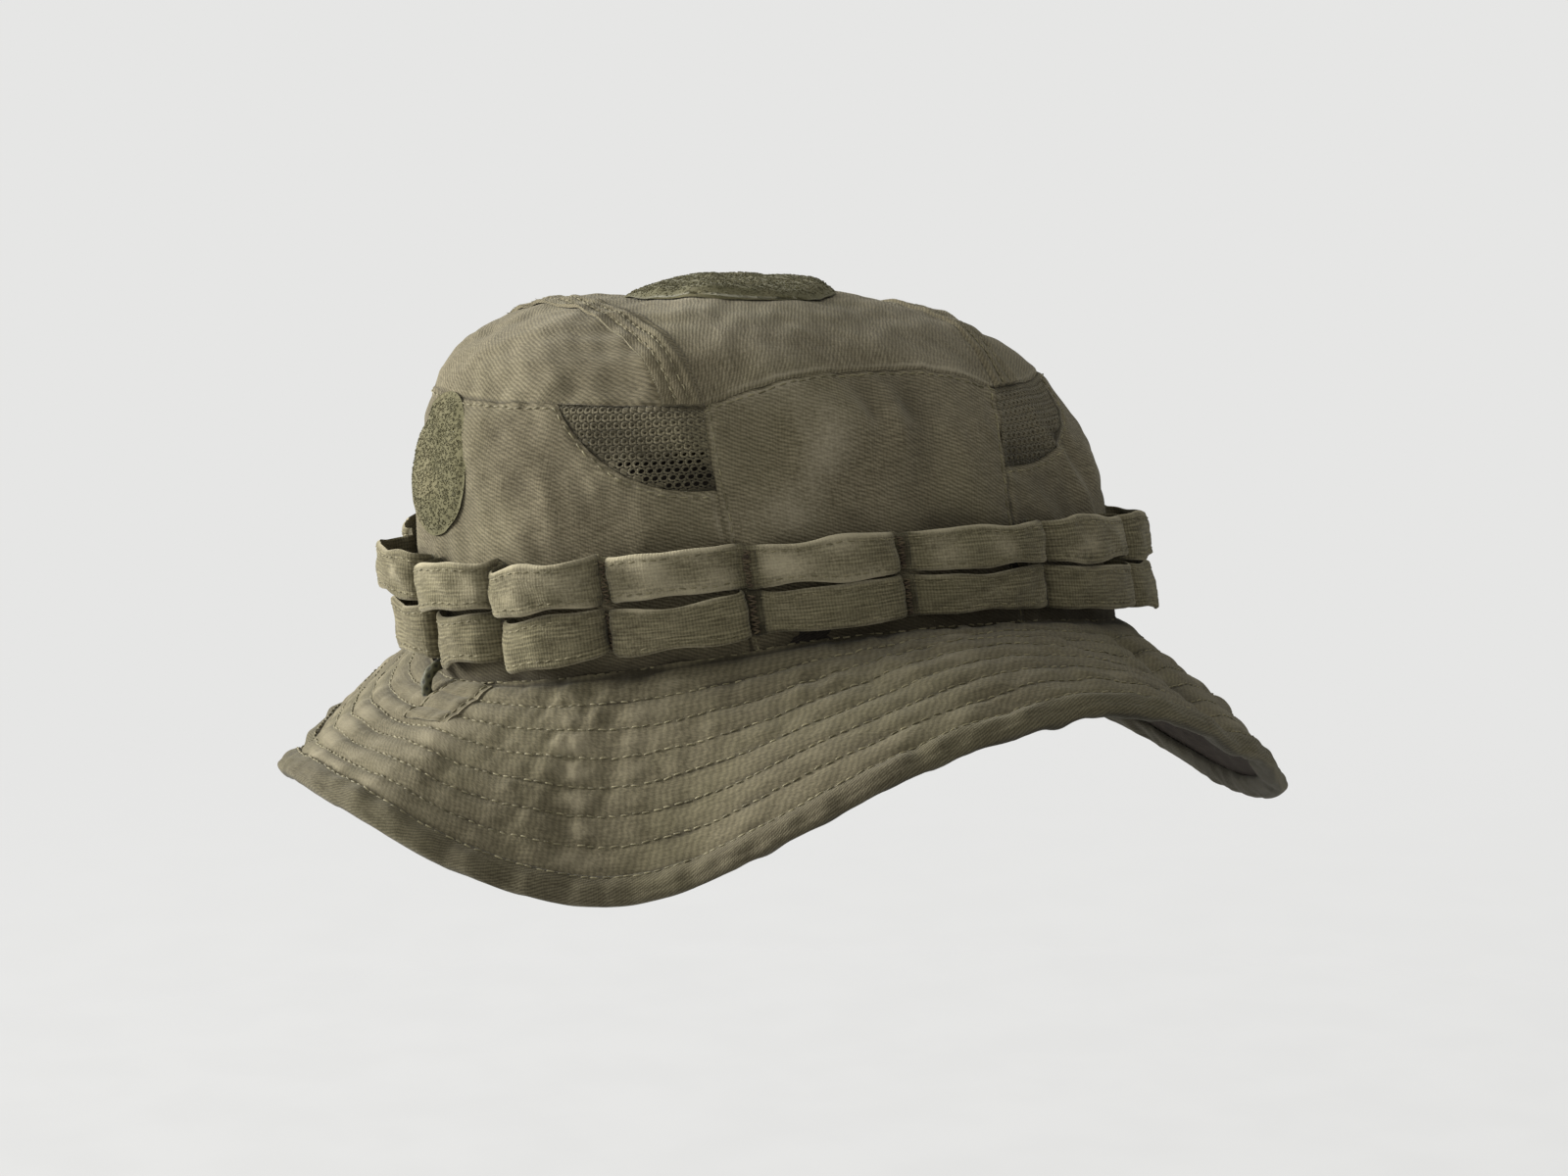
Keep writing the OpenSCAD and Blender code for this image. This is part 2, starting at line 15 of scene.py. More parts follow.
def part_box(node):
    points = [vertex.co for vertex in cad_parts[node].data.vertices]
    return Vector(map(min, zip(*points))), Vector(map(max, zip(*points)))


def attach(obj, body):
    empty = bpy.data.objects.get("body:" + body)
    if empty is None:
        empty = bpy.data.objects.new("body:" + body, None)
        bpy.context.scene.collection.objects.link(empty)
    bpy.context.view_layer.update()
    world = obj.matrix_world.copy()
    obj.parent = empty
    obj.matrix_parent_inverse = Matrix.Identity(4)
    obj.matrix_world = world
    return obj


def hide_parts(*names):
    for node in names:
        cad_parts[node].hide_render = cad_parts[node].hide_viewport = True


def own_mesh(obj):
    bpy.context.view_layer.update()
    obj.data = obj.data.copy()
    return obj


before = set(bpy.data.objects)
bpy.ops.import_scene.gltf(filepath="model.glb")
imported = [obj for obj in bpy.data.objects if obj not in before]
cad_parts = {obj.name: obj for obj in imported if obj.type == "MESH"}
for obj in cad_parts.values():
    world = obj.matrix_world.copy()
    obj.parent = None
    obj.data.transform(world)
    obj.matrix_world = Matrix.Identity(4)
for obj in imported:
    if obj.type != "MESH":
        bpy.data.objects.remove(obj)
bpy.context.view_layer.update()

MM = 0.001

# ------------------------------------------------------------------ camera

PIVOT = Vector((0.0, 0.0, 0.040))
CAMERA_AZIMUTH, CAMERA_ELEVATION, CAMERA_ROLL = 64.56, 8.03, -1.10
CAMERA_DISTANCE = 1.101
AIM_RIGHT, AIM_UP = 0.0029, -0.0308
LENS_MM = 87.43


def view_axes(back):
    """The camera's right and up directions when it looks against back, with its roll."""
    right = Vector((0, 0, 1)).cross(back).normalized()
    up = back.cross(right)
    roll = math.radians(CAMERA_ROLL)
    return (math.cos(roll) * right + math.sin(roll) * up,
            math.cos(roll) * up - math.sin(roll) * right)


def add_camera():
    azimuth, elevation = math.radians(CAMERA_AZIMUTH), math.radians(CAMERA_ELEVATION)
    back = Vector((math.sin(azimuth) * math.cos(elevation),
                   -math.cos(azimuth) * math.cos(elevation), math.sin(elevation)))
    right, up = view_axes(back)
    place = PIVOT + CAMERA_DISTANCE * back
    back = (place - PIVOT - AIM_RIGHT * right - AIM_UP * up).normalized()
    right, up = view_axes(back)
    data = bpy.data.cameras.new("camera")
    data.lens, data.sensor_width = LENS_MM, 36.0
    data.clip_start, data.clip_end = 0.01, 100.0
    camera = bpy.data.objects.new("camera", data)
    camera.matrix_world = Matrix.Translation(place) @ Matrix((right, up, back)).transposed().to_4x4()
    bpy.context.scene.collection.objects.link(camera)
    bpy.context.scene.camera = camera


add_camera()

# ---------------------------------------------------------- the hat's surfaces

HALF_LENGTH, HALF_WIDTH, HEIGHT = 102.0, 86.0, 96.0
LEAN, SADDLE = 12.0, 8.0
CROWN_POWER, REAR_POWER, FRONT_POWER = 4.25, 3.6, 1.85
CLOTH = 1.1
SIDE_REAR, SIDE_REAR_TOP, SIDE_FRONT, SIDE_FRONT_TOP = 64.5, 61.5, 112.5, 121.0
INSIDE = np.array([0.0, -8.0, 20.0])   # a point that the crown's outside faces away from


def lerp(a, b, f):
    return a + (b - a) * f


def unit_grid(na, nb):
    """Values from 0 to 1 down a column in na steps and along a row in nb steps."""
    return np.linspace(0, 1, na + 1)[:, None], np.linspace(0, 1, nb + 1)[None]


def bump(t, centre, spread):
    """A smooth bump of height 1 around one azimuth."""
    d = (t - centre + 540) % 360 - 180
    return np.exp(-0.5 * (d / spread) ** 2)


def hump(x, width):
    """A smooth hump of height 1 where x is 0."""
    return np.exp(-((x / width) ** 2))


def step(x, low, high):
    """0 below low and 1 above high, smooth between them."""
    f = np.clip((x - low) / (high - low), 0, 1)
    return f * f * (3 - 2 * f)


def roundness(t):
    return lerp(REAR_POWER, FRONT_POWER, (1 - np.cos(np.radians(t))) / 2)


def crown_z(t, h, out):
    return HEIGHT * h + out * h**4 - SADDLE * (1 - h) ** 1.5 * np.cos(2 * np.radians(t))


def crown(t, h, out=0.0):
    """A point of the crown at azimuth t and height share h, moved outward by out."""
    t, h, out = np.broadcast_arrays(np.asarray(t, float), np.clip(h, 0, 1), out)
    k = (1 - h**CROWN_POWER) ** (1 / roundness(t))
    a = np.radians(t)
    return np.stack([(HALF_WIDTH + out) * k * np.sin(a),
                     -(HALF_LENGTH + out) * k * np.cos(a) - LEAN * h,
                     crown_z(t, h, out)], axis=-1)


def wall(t, z, out=0.0):
    """A point of the crown's wall at a height in millimetres above the seam."""
    t, z = np.broadcast_arrays(np.asarray(t, float), np.asarray(z, float))
    point = crown(t, np.maximum(z, 0) / HEIGHT, out)
    point[..., 2] += np.minimum(z, 0)
    return point


def roof(x, y, out=0.0):
    """The point of the crown above a point of its plan, moved outward by out."""
    h = np.full(np.shape(x), 0.95)
    for _ in range(14):
        qx, qy = x / HALF_WIDTH, (y + LEAN * h) / HALF_LENGTH
        k = np.minimum(np.hypot(qx, qy), 0.9995)
        h = (1 - k ** roundness(np.degrees(np.arctan2(qx, -qy)))) ** (1 / CROWN_POWER)
    return crown(np.degrees(np.arctan2(x / HALF_WIDTH, -(y + LEAN * h) / HALF_LENGTH)), h, out)


def top_seam(t):
    """The seam between the crown's walls and its top, as a height share."""
    a = np.abs((np.asarray(t, float) + 540) % 360 - 180)
    f = np.clip((a - SIDE_REAR_TOP) / (SIDE_FRONT_TOP - SIDE_REAR_TOP), 0, 1)
    side = lerp(0.750, 0.735, f) + 0.082 * np.sin(np.pi * f) ** 0.8
    rear = lerp(0.772, 0.750, (np.minimum(a, SIDE_REAR_TOP) / SIDE_REAR_TOP) ** 3)
    return np.where(a < SIDE_REAR_TOP, rear, np.where(a > SIDE_FRONT_TOP, 0.735, side))


def side_rear(h):
    return lerp(SIDE_REAR, SIDE_REAR_TOP, h / 0.75)


def side_front(h):
    return lerp(SIDE_FRONT, SIDE_FRONT_TOP, (h / 0.735) ** 4)


def vent_rear_low(t):
    return 0.51 + 0.262 * (np.maximum(SIDE_REAR_TOP - t, 0) / 28) ** 2.2


def vent_front_low(t):
    return 0.51 + 0.225 * (np.maximum(t - SIDE_FRONT_TOP, 0) / 32) ** 1.6


def seam_plan(t):
    point = crown(t, top_seam(t))
    return point[..., 0], point[..., 1]


def brim_reach(t):
    return 64 - 13 * bump(t, -4, 24) + 5 * bump(t, 160, 30) + 2 * bump(t, 46, 10) - 2 * bump(t, 88, 18)


def brim_droop(t):
    return (36 + 25 * bump(t, 46, 15) - 9 * bump(t, 6, 14) - 24 * bump(t, 98, 20)
            + 18 * bump(t, 170, 26) + 5 * bump(t, -28, 14))


def brim_curl(t):
    return 14 + 12 * bump(t, 95, 25) - 12 * bump(t, 0, 25) + 36 * bump(t, 185, 26)


def brim(t, s, lift=0.0):
    """A point of the brim, s millimetres from the seam along it and lift above its middle."""
    t, s, lift = np.broadcast_arrays(np.asarray(t, float), np.asarray(s, float), lift)
    turn = np.radians(brim_curl(t)) / brim_reach(t)
    first = np.radians(brim_droop(t) - brim_curl(t) / 2)
    here = first + turn * s
    run = 0.4 + (np.sin(here) - np.sin(first)) / turn + lift * np.sin(here)
    fall = (np.cos(here) - np.cos(first)) / turn
    a = np.radians(t)
    across = np.stack([HALF_LENGTH * np.sin(a), -HALF_WIDTH * np.cos(a)], axis=-1)
    across /= np.linalg.norm(across, axis=-1, keepdims=True)
    return np.stack([HALF_WIDTH * np.sin(a) + across[..., 0] * run,
                     -HALF_LENGTH * np.cos(a) + across[..., 1] * run,
                     -SADDLE * np.cos(2 * a) + fall + lift * np.cos(here)], axis=-1)


WAVES = 16     # the plane waves that ripples adds up


def ripples(points, size, seed):
    """Smooth noise with features of about that size, between about -2 and 2."""
    rng = np.random.default_rng(seed)
    total = np.zeros(points.shape[:-1])
    for _ in range(WAVES):
        way = rng.normal(size=3)
        way *= 2 * math.pi / size * rng.uniform(0.6, 1.5) / np.linalg.norm(way)
        total += np.sin(points @ way + rng.uniform(0, 2 * math.pi))
    return total / math.sqrt(WAVES / 2)


# ------------------------------------------------------------- mesh building

def unit(v):
    return v / np.maximum(np.linalg.norm(v, axis=-1, keepdims=True), 1e-9)


def distances(line):
    """How far along a line each of its points lies."""
    return np.concatenate([[0], np.cumsum(np.linalg.norm(np.diff(line, axis=0), axis=-1))])


def tube_rings(centre, side, up, girth, sides):
    """Rings of points round each place of centre, in the plane of side and up."""
    angle = np.arange(sides) * 2 * math.pi / sides
    spread = side[..., None, :] * np.cos(angle)[:, None] + up[..., None, :] * np.sin(angle)[:, None]
    return centre[..., None, :] + spread * girth


def add_mesh(name, points, faces, material, uv=None, fields=None, flat=None):
    """A mesh object from points in mm and lists of faces with 3 or 4 corners.

    uv holds one cloth coordinate in mm for each face corner, fields one value a point.
    flat marks, for each list of faces, whether its faces are shaded flat."""
    mesh = bpy.data.meshes.new(name)
    corners = np.concatenate([f.ravel() for f in faces])
    sizes = np.concatenate([np.full(len(f), f.shape[1]) for f in faces])
    mesh.vertices.add(len(points))
    mesh.vertices.foreach_set("co", (np.asarray(points) * MM).astype(np.float32).ravel())
    mesh.loops.add(len(corners))
    mesh.loops.foreach_set("vertex_index", corners.astype(np.int32))
    mesh.polygons.add(len(sizes))
    starts = np.concatenate([[0], np.cumsum(sizes)[:-1]])
    mesh.polygons.foreach_set("loop_start", starts.astype(np.int32))
    smooth = np.concatenate([np.full(len(f), not (flat and flat[i])) for i, f in enumerate(faces)])
    mesh.polygons.foreach_set("use_smooth", smooth)
    if uv is not None:
        layer = mesh.uv_layers.new(name="cloth")
        corner_uv = np.concatenate([u.reshape(-1, 2) for u in uv])
        layer.data.foreach_set("uv", corner_uv.astype(np.float32).ravel())
    for field, values in (fields or {}).items():
        attribute = mesh.attributes.new(field, "FLOAT", "POINT")
        attribute.data.foreach_set("value", np.asarray(values, np.float32).ravel())
    mesh.update(calc_edges=True)
    mesh.materials.append(material)
    piece = bpy.data.objects.new(name, mesh)
    bpy.context.scene.collection.objects.link(piece)
    return piece


def hold(piece, body, slot, *nodes):
    """The piece rides on a body and stands for its CAD nodes, which are hidden; slot is not used."""
    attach(piece, body)
    if nodes:
        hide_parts(*nodes)
    return piece


class Sheet:
    """A grid of surface points, with normals, cloth coordinates and distances to its borders."""

    def __init__(self, points, ring=False, facing=None):
        self.points, self.ring, self.facing = points, ring, facing
        along_u = np.linalg.norm(np.diff(points, axis=0), axis=-1)
        along_v = np.linalg.norm(np.diff(points, axis=1), axis=-1)
        u = np.concatenate([np.zeros((1, points.shape[1])), np.cumsum(along_u, axis=0)])
        v = np.concatenate([np.zeros((points.shape[0], 1)), np.cumsum(along_v, axis=1)], axis=1)
        self.to = {"left": u, "right": u[-1:] - u, "low": v, "high": v[:, -1:] - v}
        self.cloth = np.stack([u - u[len(u) // 2], v], axis=-1)
        self.find_normals()

    def find_normals(self):
        p = self.points
        if self.ring:
            body = p[:-1]
            du = np.roll(body, -1, axis=0) - np.roll(body, 1, axis=0)
            du = np.concatenate([du, du[:1]])
        else:
            du = np.gradient(p, axis=0)
        normals = unit(np.cross(du, np.gradient(p, axis=1)))
        away = p - INSIDE if self.facing is None else np.broadcast_to(self.facing, p.shape)
        if (normals * away).sum() < 0:
            normals = -normals
        self.normals = normals

    def raise_by(self, relief):
        self.points = self.points + self.normals * relief[..., None]
        self.find_normals()

    def near(self, border, reach):
        return hump(self.to[border], reach)

    def at(self, i, j):
        """Points and normals at fractional grid places."""
        i0 = np.clip(np.floor(i).astype(int), 0, self.points.shape[0] - 2)
        j0 = np.clip(np.floor(j).astype(int), 0, self.points.shape[1] - 2)
        fi, fj = (i - i0)[:, None], (j - j0)[:, None]

        def mixed(grid):
            return lerp(lerp(grid[i0, j0], grid[i0 + 1, j0], fi),
                        lerp(grid[i0, j0 + 1], grid[i0 + 1, j0 + 1], fi), fj)
        return mixed(self.points), unit(mixed(self.normals))

    def line(self, border, inset):
        """The line inset mm inside one border: its points and normals."""
        far = self.to[border]
        across = far if border in ("low", "high") else far.T
        if border in ("high", "right"):
            across = across[:, ::-1]
        count = across.shape[1] - 1
        rows = [r for r in range(across.shape[0]) if across[r, -1] > 2.2 * inset]
        found = np.array([np.interp(inset, across[r], np.arange(count + 1)) for r in rows])
        if border in ("high", "right"):
            found = count - found
        rows = np.array(rows, float)
        return self.at(rows, found) if border in ("low", "high") else self.at(found, rows)


def grid_faces(na, nb, ring=False, tube=False):
    """Quads of an (na + 1) by (nb + 1) grid: their points and their places in a cloth grid.

    A ring's rows close on each other; in a tube the columns do."""
    i, j = np.meshgrid(np.arange(na), np.arange(nb), indexing="ij")
    corners = [(i, j), (i, j + 1), (i + 1, j + 1), (i + 1, j)]
    row = nb if tube else nb + 1
    points = np.stack([((a % na if ring else a) * row + (b % nb if tube else b)).ravel()
                       for a, b in corners], axis=1)
    places = np.stack([(a * (nb + 1) + b).ravel() for a, b in corners], axis=1)
    return points, places


def slab(name, sheet, thickness, material, wear_tone_and_painted_light, back=None):
    """A closed piece of cloth: the sheet, its back and the edge between them."""
    na, nb = sheet.points.shape[0] - 1, sheet.points.shape[1] - 1
    rows = na if sheet.ring else na + 1
    top = sheet.points[:rows].reshape(-1, 3)
    under = sheet.points - sheet.normals * thickness if back is None else back
    under = under[:rows].reshape(-1, 3)
    skin, places = grid_faces(na, nb, sheet.ring)
    count, row = len(top), nb + 1
    if sheet.ring:
        inner, outer = np.arange(rows) * row, np.arange(rows) * row + nb
        rims = [(inner, np.roll(inner, -1)), (np.roll(outer, -1), outer)]
    else:
        loop = np.concatenate([np.arange(rows) * row, na * row + np.arange(1, row),
                               np.arange(na - 1, -1, -1) * row + nb, np.arange(nb - 1, 0, -1)])
        rims = [(loop, np.roll(loop, -1))]
    edge = np.concatenate([np.stack([a, b, b + count, a + count], axis=1) for a, b in rims])
    middle = skin[len(skin) // 2]
    way = np.cross(top[middle[2]] - top[middle[0]], top[middle[3]] - top[middle[1]])
    inward = (way * sheet.normals[:rows].reshape(-1, 3)[middle[0]]).sum() < 0
    if inward:
        skin, places = skin[:, ::-1], places[:, ::-1]
    else:
        edge = edge[:, ::-1]
    cloth = sheet.cloth.reshape(-1, 2)
    edge_cloth = sheet.cloth[:rows].reshape(-1, 2)[edge % count]
    edge_cloth = edge_cloth + np.where(edge >= count, thickness, 0)[..., None]
    uv = [cloth[places], cloth[places[:, ::-1]], edge_cloth]
    return add_mesh(name, np.concatenate([top, under]), [skin, skin[:, ::-1] + count, edge],
                    material, uv, {"wear_tone_and_painted_light": np.tile(wear_tone_and_painted_light[:rows].ravel(), 2)}, flat=[False, False, True])


def cloth_piece(node, sheet, thickness, material, wear_tone_and_painted_light, slot="cloth"):
    """The hat's cloth in place of one CAD node."""
    return hold(slab(node + "_cloth", sheet, thickness, material, wear_tone_and_painted_light), "hat", slot, node)


def swept(name, sections, material, wear_tone_and_painted_light, cloth=None):
    """A closed ring from a stack of closed outlines: sections has the shape (steps, sides, 3)."""
    steps, sides = sections.shape[:2]
    faces, places = grid_faces(steps, sides, ring=True, tube=True)
    if cloth is None:
        ring = np.concatenate([sections, sections[:1]])
        around = distances(ring.mean(1))
        side = np.concatenate([sections[0], sections[0][:1]])
        across = distances(side)
        cloth = np.stack(np.meshgrid(around, across, indexing="ij"), axis=-1)
    points = sections.reshape(-1, 3)
    middle = sections.mean(1, keepdims=True)
    way = np.cross(points[faces[:, 2]] - points[faces[:, 0]],
                   points[faces[:, 3]] - points[faces[:, 1]])
    out = points[faces].mean(1) - np.broadcast_to(middle, sections.shape).reshape(-1, 3)[faces[:, 0]]
    if (way * out).sum() < 0:
        faces, places = faces[:, ::-1], places[:, ::-1]
    return add_mesh(name, points, [faces], material, [cloth.reshape(-1, 2)[places]], {"wear_tone_and_painted_light": wear_tone_and_painted_light})


# ------------------------------------------------------------------ stitches

STITCH_SIDES = 5


def follow(line, along, at):
    return np.stack([np.interp(at, along, line[:, k]) for k in range(3)], axis=-1)


def stitch_run(line, normals, rng, pitch=3.1, length=2.45, radius=0.26, lift=0.08):
    """Stitches along a line on cloth, each a short bead of thread whose ends dive into it."""
    along = distances(line)
    at = np.arange(0.5 * pitch, along[-1], pitch)
    at = at + rng.uniform(-0.12, 0.12, len(at)) * pitch
    rings = np.array([-0.5, -0.36, -0.12, 0.12, 0.36, 0.5])
    rise = np.array([-0.34, 0.02, 0.1, 0.1, 0.02, -0.34]) + lift
    girth = np.array([0.55, 0.95, 1.05, 1.05, 0.95, 0.55]) * radius
    span = length * rng.uniform(0.85, 1.08, len(at))
    spots = at[:, None] + rings * span[:, None]
    centre = follow(line, along, spots)
    up = unit(follow(normals, along, spots))
    ahead = unit(follow(line, along, at + 0.5) - follow(line, along, at - 0.5))[:, None]
    side = unit(np.cross(up, ahead))
    drift = rng.normal(0, 0.10, len(at))[:, None, None] * side
    slant = rng.normal(0, 0.10, len(at))[:, None, None] * rings[None, :, None] * 2 * side
    centre = centre + up * rise[None, :, None] + drift + slant
    return tube_rings(centre, side, up, girth[None, :, None, None], STITCH_SIDES)


def stitches(name, runs, material, slot="thread"):
    """One piece from several runs of stitches, each an array (stitches, rings, sides, 3)."""
    beads = np.concatenate([r for r in runs if len(r)])
    count, rings, sides = beads.shape[:3]
    quad = np.roll(grid_faces(rings - 1, sides, tube=True)[0][:, ::-1], 1, axis=1)
    base = (np.arange(count) * rings * sides)[:, None, None]
    walls = (quad[None] + base).reshape(-1, 4)
    cap = np.arange(sides)
    ends = np.concatenate([cap[None, ::-1] + base[:, 0], cap[None] + (rings - 1) * sides + base[:, 0]])
    sample = beads[0]
    way = np.cross(sample[1, 0] - sample[0, 0], sample[0, 1] - sample[0, 0])
    if (way * (sample[0, 0] - sample[0].mean(0))).sum() < 0:
        walls, ends = walls[:, ::-1], ends[:, ::-1]
    shade = np.repeat(np.random.default_rng(count).uniform(-1, 1, count), rings * sides)
    piece = add_mesh(name, beads.reshape(-1, 3), [walls, ends], material, fields={"wear_tone_and_painted_light": shade})
    return hold(piece, "hat", slot)


# ----------------------------------------------------------------- materials

class Shader:
    """A material with a principled shader, and short ways to add nodes to it."""

    def __init__(self, name):
        self.material = bpy.data.materials.new(name)
        self.material.use_nodes = True
        self.nodes = self.material.node_tree.nodes
        self.links = self.material.node_tree.links
        self.bsdf = self.nodes["Principled BSDF"]

    def feed(self, socket, value):
        if isinstance(value, bpy.types.NodeSocket):
            self.links.new(value, socket)
        else:
            socket.default_value = value

    def math(self, operation, a, b=0.0, c=0.0):
        node = self.nodes.new("ShaderNodeMath")
        node.operation = operation
        for socket, value in zip(node.inputs, (a, b, c)):
            self.feed(socket, value)
        return node.outputs[0]

    def plus(self, a, b):
        return self.math("ADD", a, b)

    def times(self, a, b):
        return self.math("MULTIPLY", a, b)

    def vector(self, operation, a, b):
        node = self.nodes.new("ShaderNodeVectorMath")
        node.operation = operation
        self.feed(node.inputs[0], a)
        self.feed(node.inputs[1], b)
        return node.outputs[0]

    def noise(self, place, scale, detail=2.0, roughness=0.5):
        node = self.nodes.new("ShaderNodeTexNoise")
        for name, value in (("Vector", place), ("Scale", scale), ("Detail", detail),
                            ("Roughness", roughness)):
            self.feed(node.inputs[name], value)
        return node.outputs["Fac"]

    def ramp(self, value, low, high, to_low=0.0, to_high=1.0):
        node = self.nodes.new("ShaderNodeMapRange")
        node.interpolation_type = "SMOOTHSTEP"
        for name, given in (("Value", value), ("From Min", low), ("From Max", high),
                            ("To Min", to_low), ("To Max", to_high)):
            self.feed(node.inputs[name], given)
        return node.outputs["Result"]

    def mix(self, factor, a, b, blend="MIX"):
        node = self.nodes.new("ShaderNodeMix")
        node.data_type, node.blend_type = "RGBA", blend
        for key, value in ((0, factor), (6, a), (7, b)):
            self.feed(node.inputs[key], value)
        return node.outputs[2]

    def field(self, name):
        node = self.nodes.new("ShaderNodeAttribute")
        node.attribute_name = name
        return node.outputs["Fac"]

    def cloth_place(self):
        """Cloth coordinates in millimetres."""
        node = self.nodes.new("ShaderNodeUVMap")
        node.uv_map = "cloth"
        return node.outputs[0]

    def place(self):
        """Place in the hat's frame, in millimetres."""
        node = self.nodes.new("ShaderNodeTexCoord")
        return self.vector("MULTIPLY", node.outputs["Object"], (1000.0, 1000.0, 1000.0))

    def surface(self, colour, roughness=0.9, specular=0.15, sheen=0.0, sheen_roughness=0.5,
                tint=(1, 1, 1, 1), metallic=0.0):
        self.feed(self.bsdf.inputs["Base Color"], colour)
        self.feed(self.bsdf.inputs["Roughness"], roughness)
        for name, value in (("Specular IOR Level", specular), ("Sheen Weight", sheen),
                            ("Sheen Roughness", sheen_roughness), ("Sheen Tint", tint),
                            ("Metallic", metallic)):
            self.bsdf.inputs[name].default_value = value

    def bump(self, height, distance, strength=1.0, before=None):
        """Bump whose height of 0 to 1 stands for distance mm."""
        node = self.nodes.new("ShaderNodeBump")
        self.feed(node.inputs["Height"], height)
        node.inputs["Strength"].default_value = strength
        node.inputs["Distance"].default_value = distance * MM
        if before is not None:
            self.feed(node.inputs["Normal"], before)
        self.feed(self.bsdf.inputs["Normal"], node.outputs[0])
        return node.outputs[0]


def rgb(r, g, b):
    """A colour from sRGB values of 0 to 255, as the shader's linear values."""
    def linear(c):
        c /= 255
        return c / 12.92 if c < 0.04045 else ((c + 0.055) / 1.055) ** 2.4
    return (linear(r), linear(g), linear(b), 1.0)


def twill(shader, place, pitch):
    """Fine slanted ridges of twill, broken into stitches of yarn: a height of 0 to 1."""
    split = shader.nodes.new("ShaderNodeSeparateXYZ")
    shader.feed(split.inputs[0], place)
    wobble = shader.times(shader.noise(place, 0.20, detail=1.0), 0.9)
    u = shader.plus(split.outputs[0], wobble)
    v = shader.plus(split.outputs[1], wobble)
    ridge = shader.plus(shader.times(u, 0.42), shader.times(v, 0.91))
    wave = shader.math("SINE", shader.times(ridge, 2 * math.pi / pitch))
    cross = shader.math("SINE", shader.times(u, 2 * math.pi / (0.83 * pitch)))
    both = shader.plus(shader.times(wave, 0.36), shader.times(cross, 0.14))
    return shader.plus(both, 0.5)


def ribbed(shader, place, pitch):
    """Webbing: ribs along its length, crossed by short dashes of weft. A height of 0 to 1."""
    split = shader.nodes.new("ShaderNodeSeparateXYZ")
    shader.feed(split.inputs[0], place)
    wobble = shader.times(shader.noise(place, 0.5, detail=1.0), 0.5)
    u = shader.plus(split.outputs[0], wobble)
    v = shader.plus(split.outputs[1], wobble)
    wave = shader.math("SINE", shader.times(v, 2 * math.pi / pitch))
    cross = shader.math("SINE", shader.times(u, 2 * math.pi / (0.8 * pitch)))
    both = shader.plus(shader.times(wave, 0.22), shader.times(cross, 0.20))
    return shader.plus(both, 0.5)


def stretched(shader, place, along, across, seed):
    """Noise drawn out along a yarn: about along mm long and across mm wide."""
    scaled = shader.vector("DIVIDE", place, (along, across, 1.0))
    return shader.noise(shader.vector("ADD", scaled, (seed * 3.7, seed * 1.9, 0.0)), 1.0, detail=2.0)


def woven(name, dark, light, wear_tone_and_painted_light, shadow, pitch=1.0, seed=1, weave=twill, depth=0.10, sheen=0.14,
          olive=0.15, slub=0.5, contrast=1.0):
    """Matt woven cloth: heathered yarn, a weave with painted shade in its hollows, blotches, ridges
    lighter from rubbing and painted highlight, and painted shade in seams and creases.
    """
    shader = Shader(name)
    place, spot = shader.cloth_place(), shader.place()
    height = weave(shader, place, pitch)
    weft = stretched(shader, place, 7.0, 0.55, seed)
    warp = stretched(shader, place, 0.55, 9.0, seed + 5)
    grain = shader.noise(place, 0.9, detail=4.0, roughness=0.7)
    heather = shader.plus(shader.times(weft, slub), shader.times(warp, 0.7 - slub))
    heather = shader.plus(heather, shader.times(grain, 0.5))
    colour = shader.mix(shader.ramp(heather, 0.42, 0.78), dark, light)
    blotch = shader.noise(spot, 0.05, detail=4.0, roughness=0.6)
    colour = shader.mix(shader.ramp(blotch, 0.40, 0.72, 0.0, 0.20), colour, shader.mix(0.5, light, wear_tone_and_painted_light))
    cloud = shader.noise(spot, 0.024, detail=2.0)
    colour = shader.mix(shader.ramp(cloud, 0.42, 0.68, 0.0, olive), colour, rgb(98, 95, 64))
    # Painted shade: the colour is darkened in the weave's hollows and lightened on its raised yarn.
    shade = shader.ramp(height, 0.12, 0.85, 1 - 0.34 * contrast, 1 + 0.13 * contrast)
    tone = shader.nodes.new("ShaderNodeCombineColor")
    for socket in tone.inputs:
        shader.feed(socket, shade)
    colour = shader.mix(1.0, colour, tone.outputs[0], "MULTIPLY")
    # The field paints light and shade: where it is positive the cloth goes towards the pale colour, for
    # rubbing and as painted highlight; where negative, towards the shadow colour, as painted shade in
    # seams and creases.
    field = shader.field("wear_tone_and_painted_light")
    rub_and_highlight = shader.ramp(shader.plus(field, shader.times(grain, 0.5)), 0.35, 1.25)
    colour = shader.mix(shader.times(rub_and_highlight, 0.8), colour, wear_tone_and_painted_light)
    crease_shade = shader.ramp(shader.times(field, -1.0), 0.1, 1.2)
    colour = shader.mix(shader.times(crease_shade, 0.8), colour, shadow)
    fleck = shader.noise(place, 1.7, detail=1.0)
    colour = shader.mix(shader.ramp(fleck, 0.72, 0.80, 0.0, 0.45), colour, wear_tone_and_painted_light)
    shader.surface(colour, 0.95, 0.10, sheen, 0.5, (0.95, 0.92, 0.78, 1))
    soft = shader.bump(grain, 0.30, 0.8)
    shader.bump(height, depth, 0.8, soft)
    return shader.material


def pile_material():
    """The fuzzy loops of the round patches."""
    shader = Shader("loop_pile")
    spot = shader.place()
    tuft = shader.noise(spot, 1.8, detail=3.0, roughness=0.6)
    colour = shader.mix(shader.ramp(tuft, 0.3, 0.7), rgb(82, 79, 56), rgb(98, 94, 69))
    rubbed = shader.ramp(shader.noise(spot, 0.08, 2.0), 0.45, 0.7, 0, 0.3)
    colour = shader.mix(rubbed, colour, rgb(124, 116, 90))
    shader.surface(colour, 0.95, 0.1, 0.22, 0.4, (0.9, 0.88, 0.72, 1))
    shader.bump(tuft, 0.2, 0.5)
    return shader.material


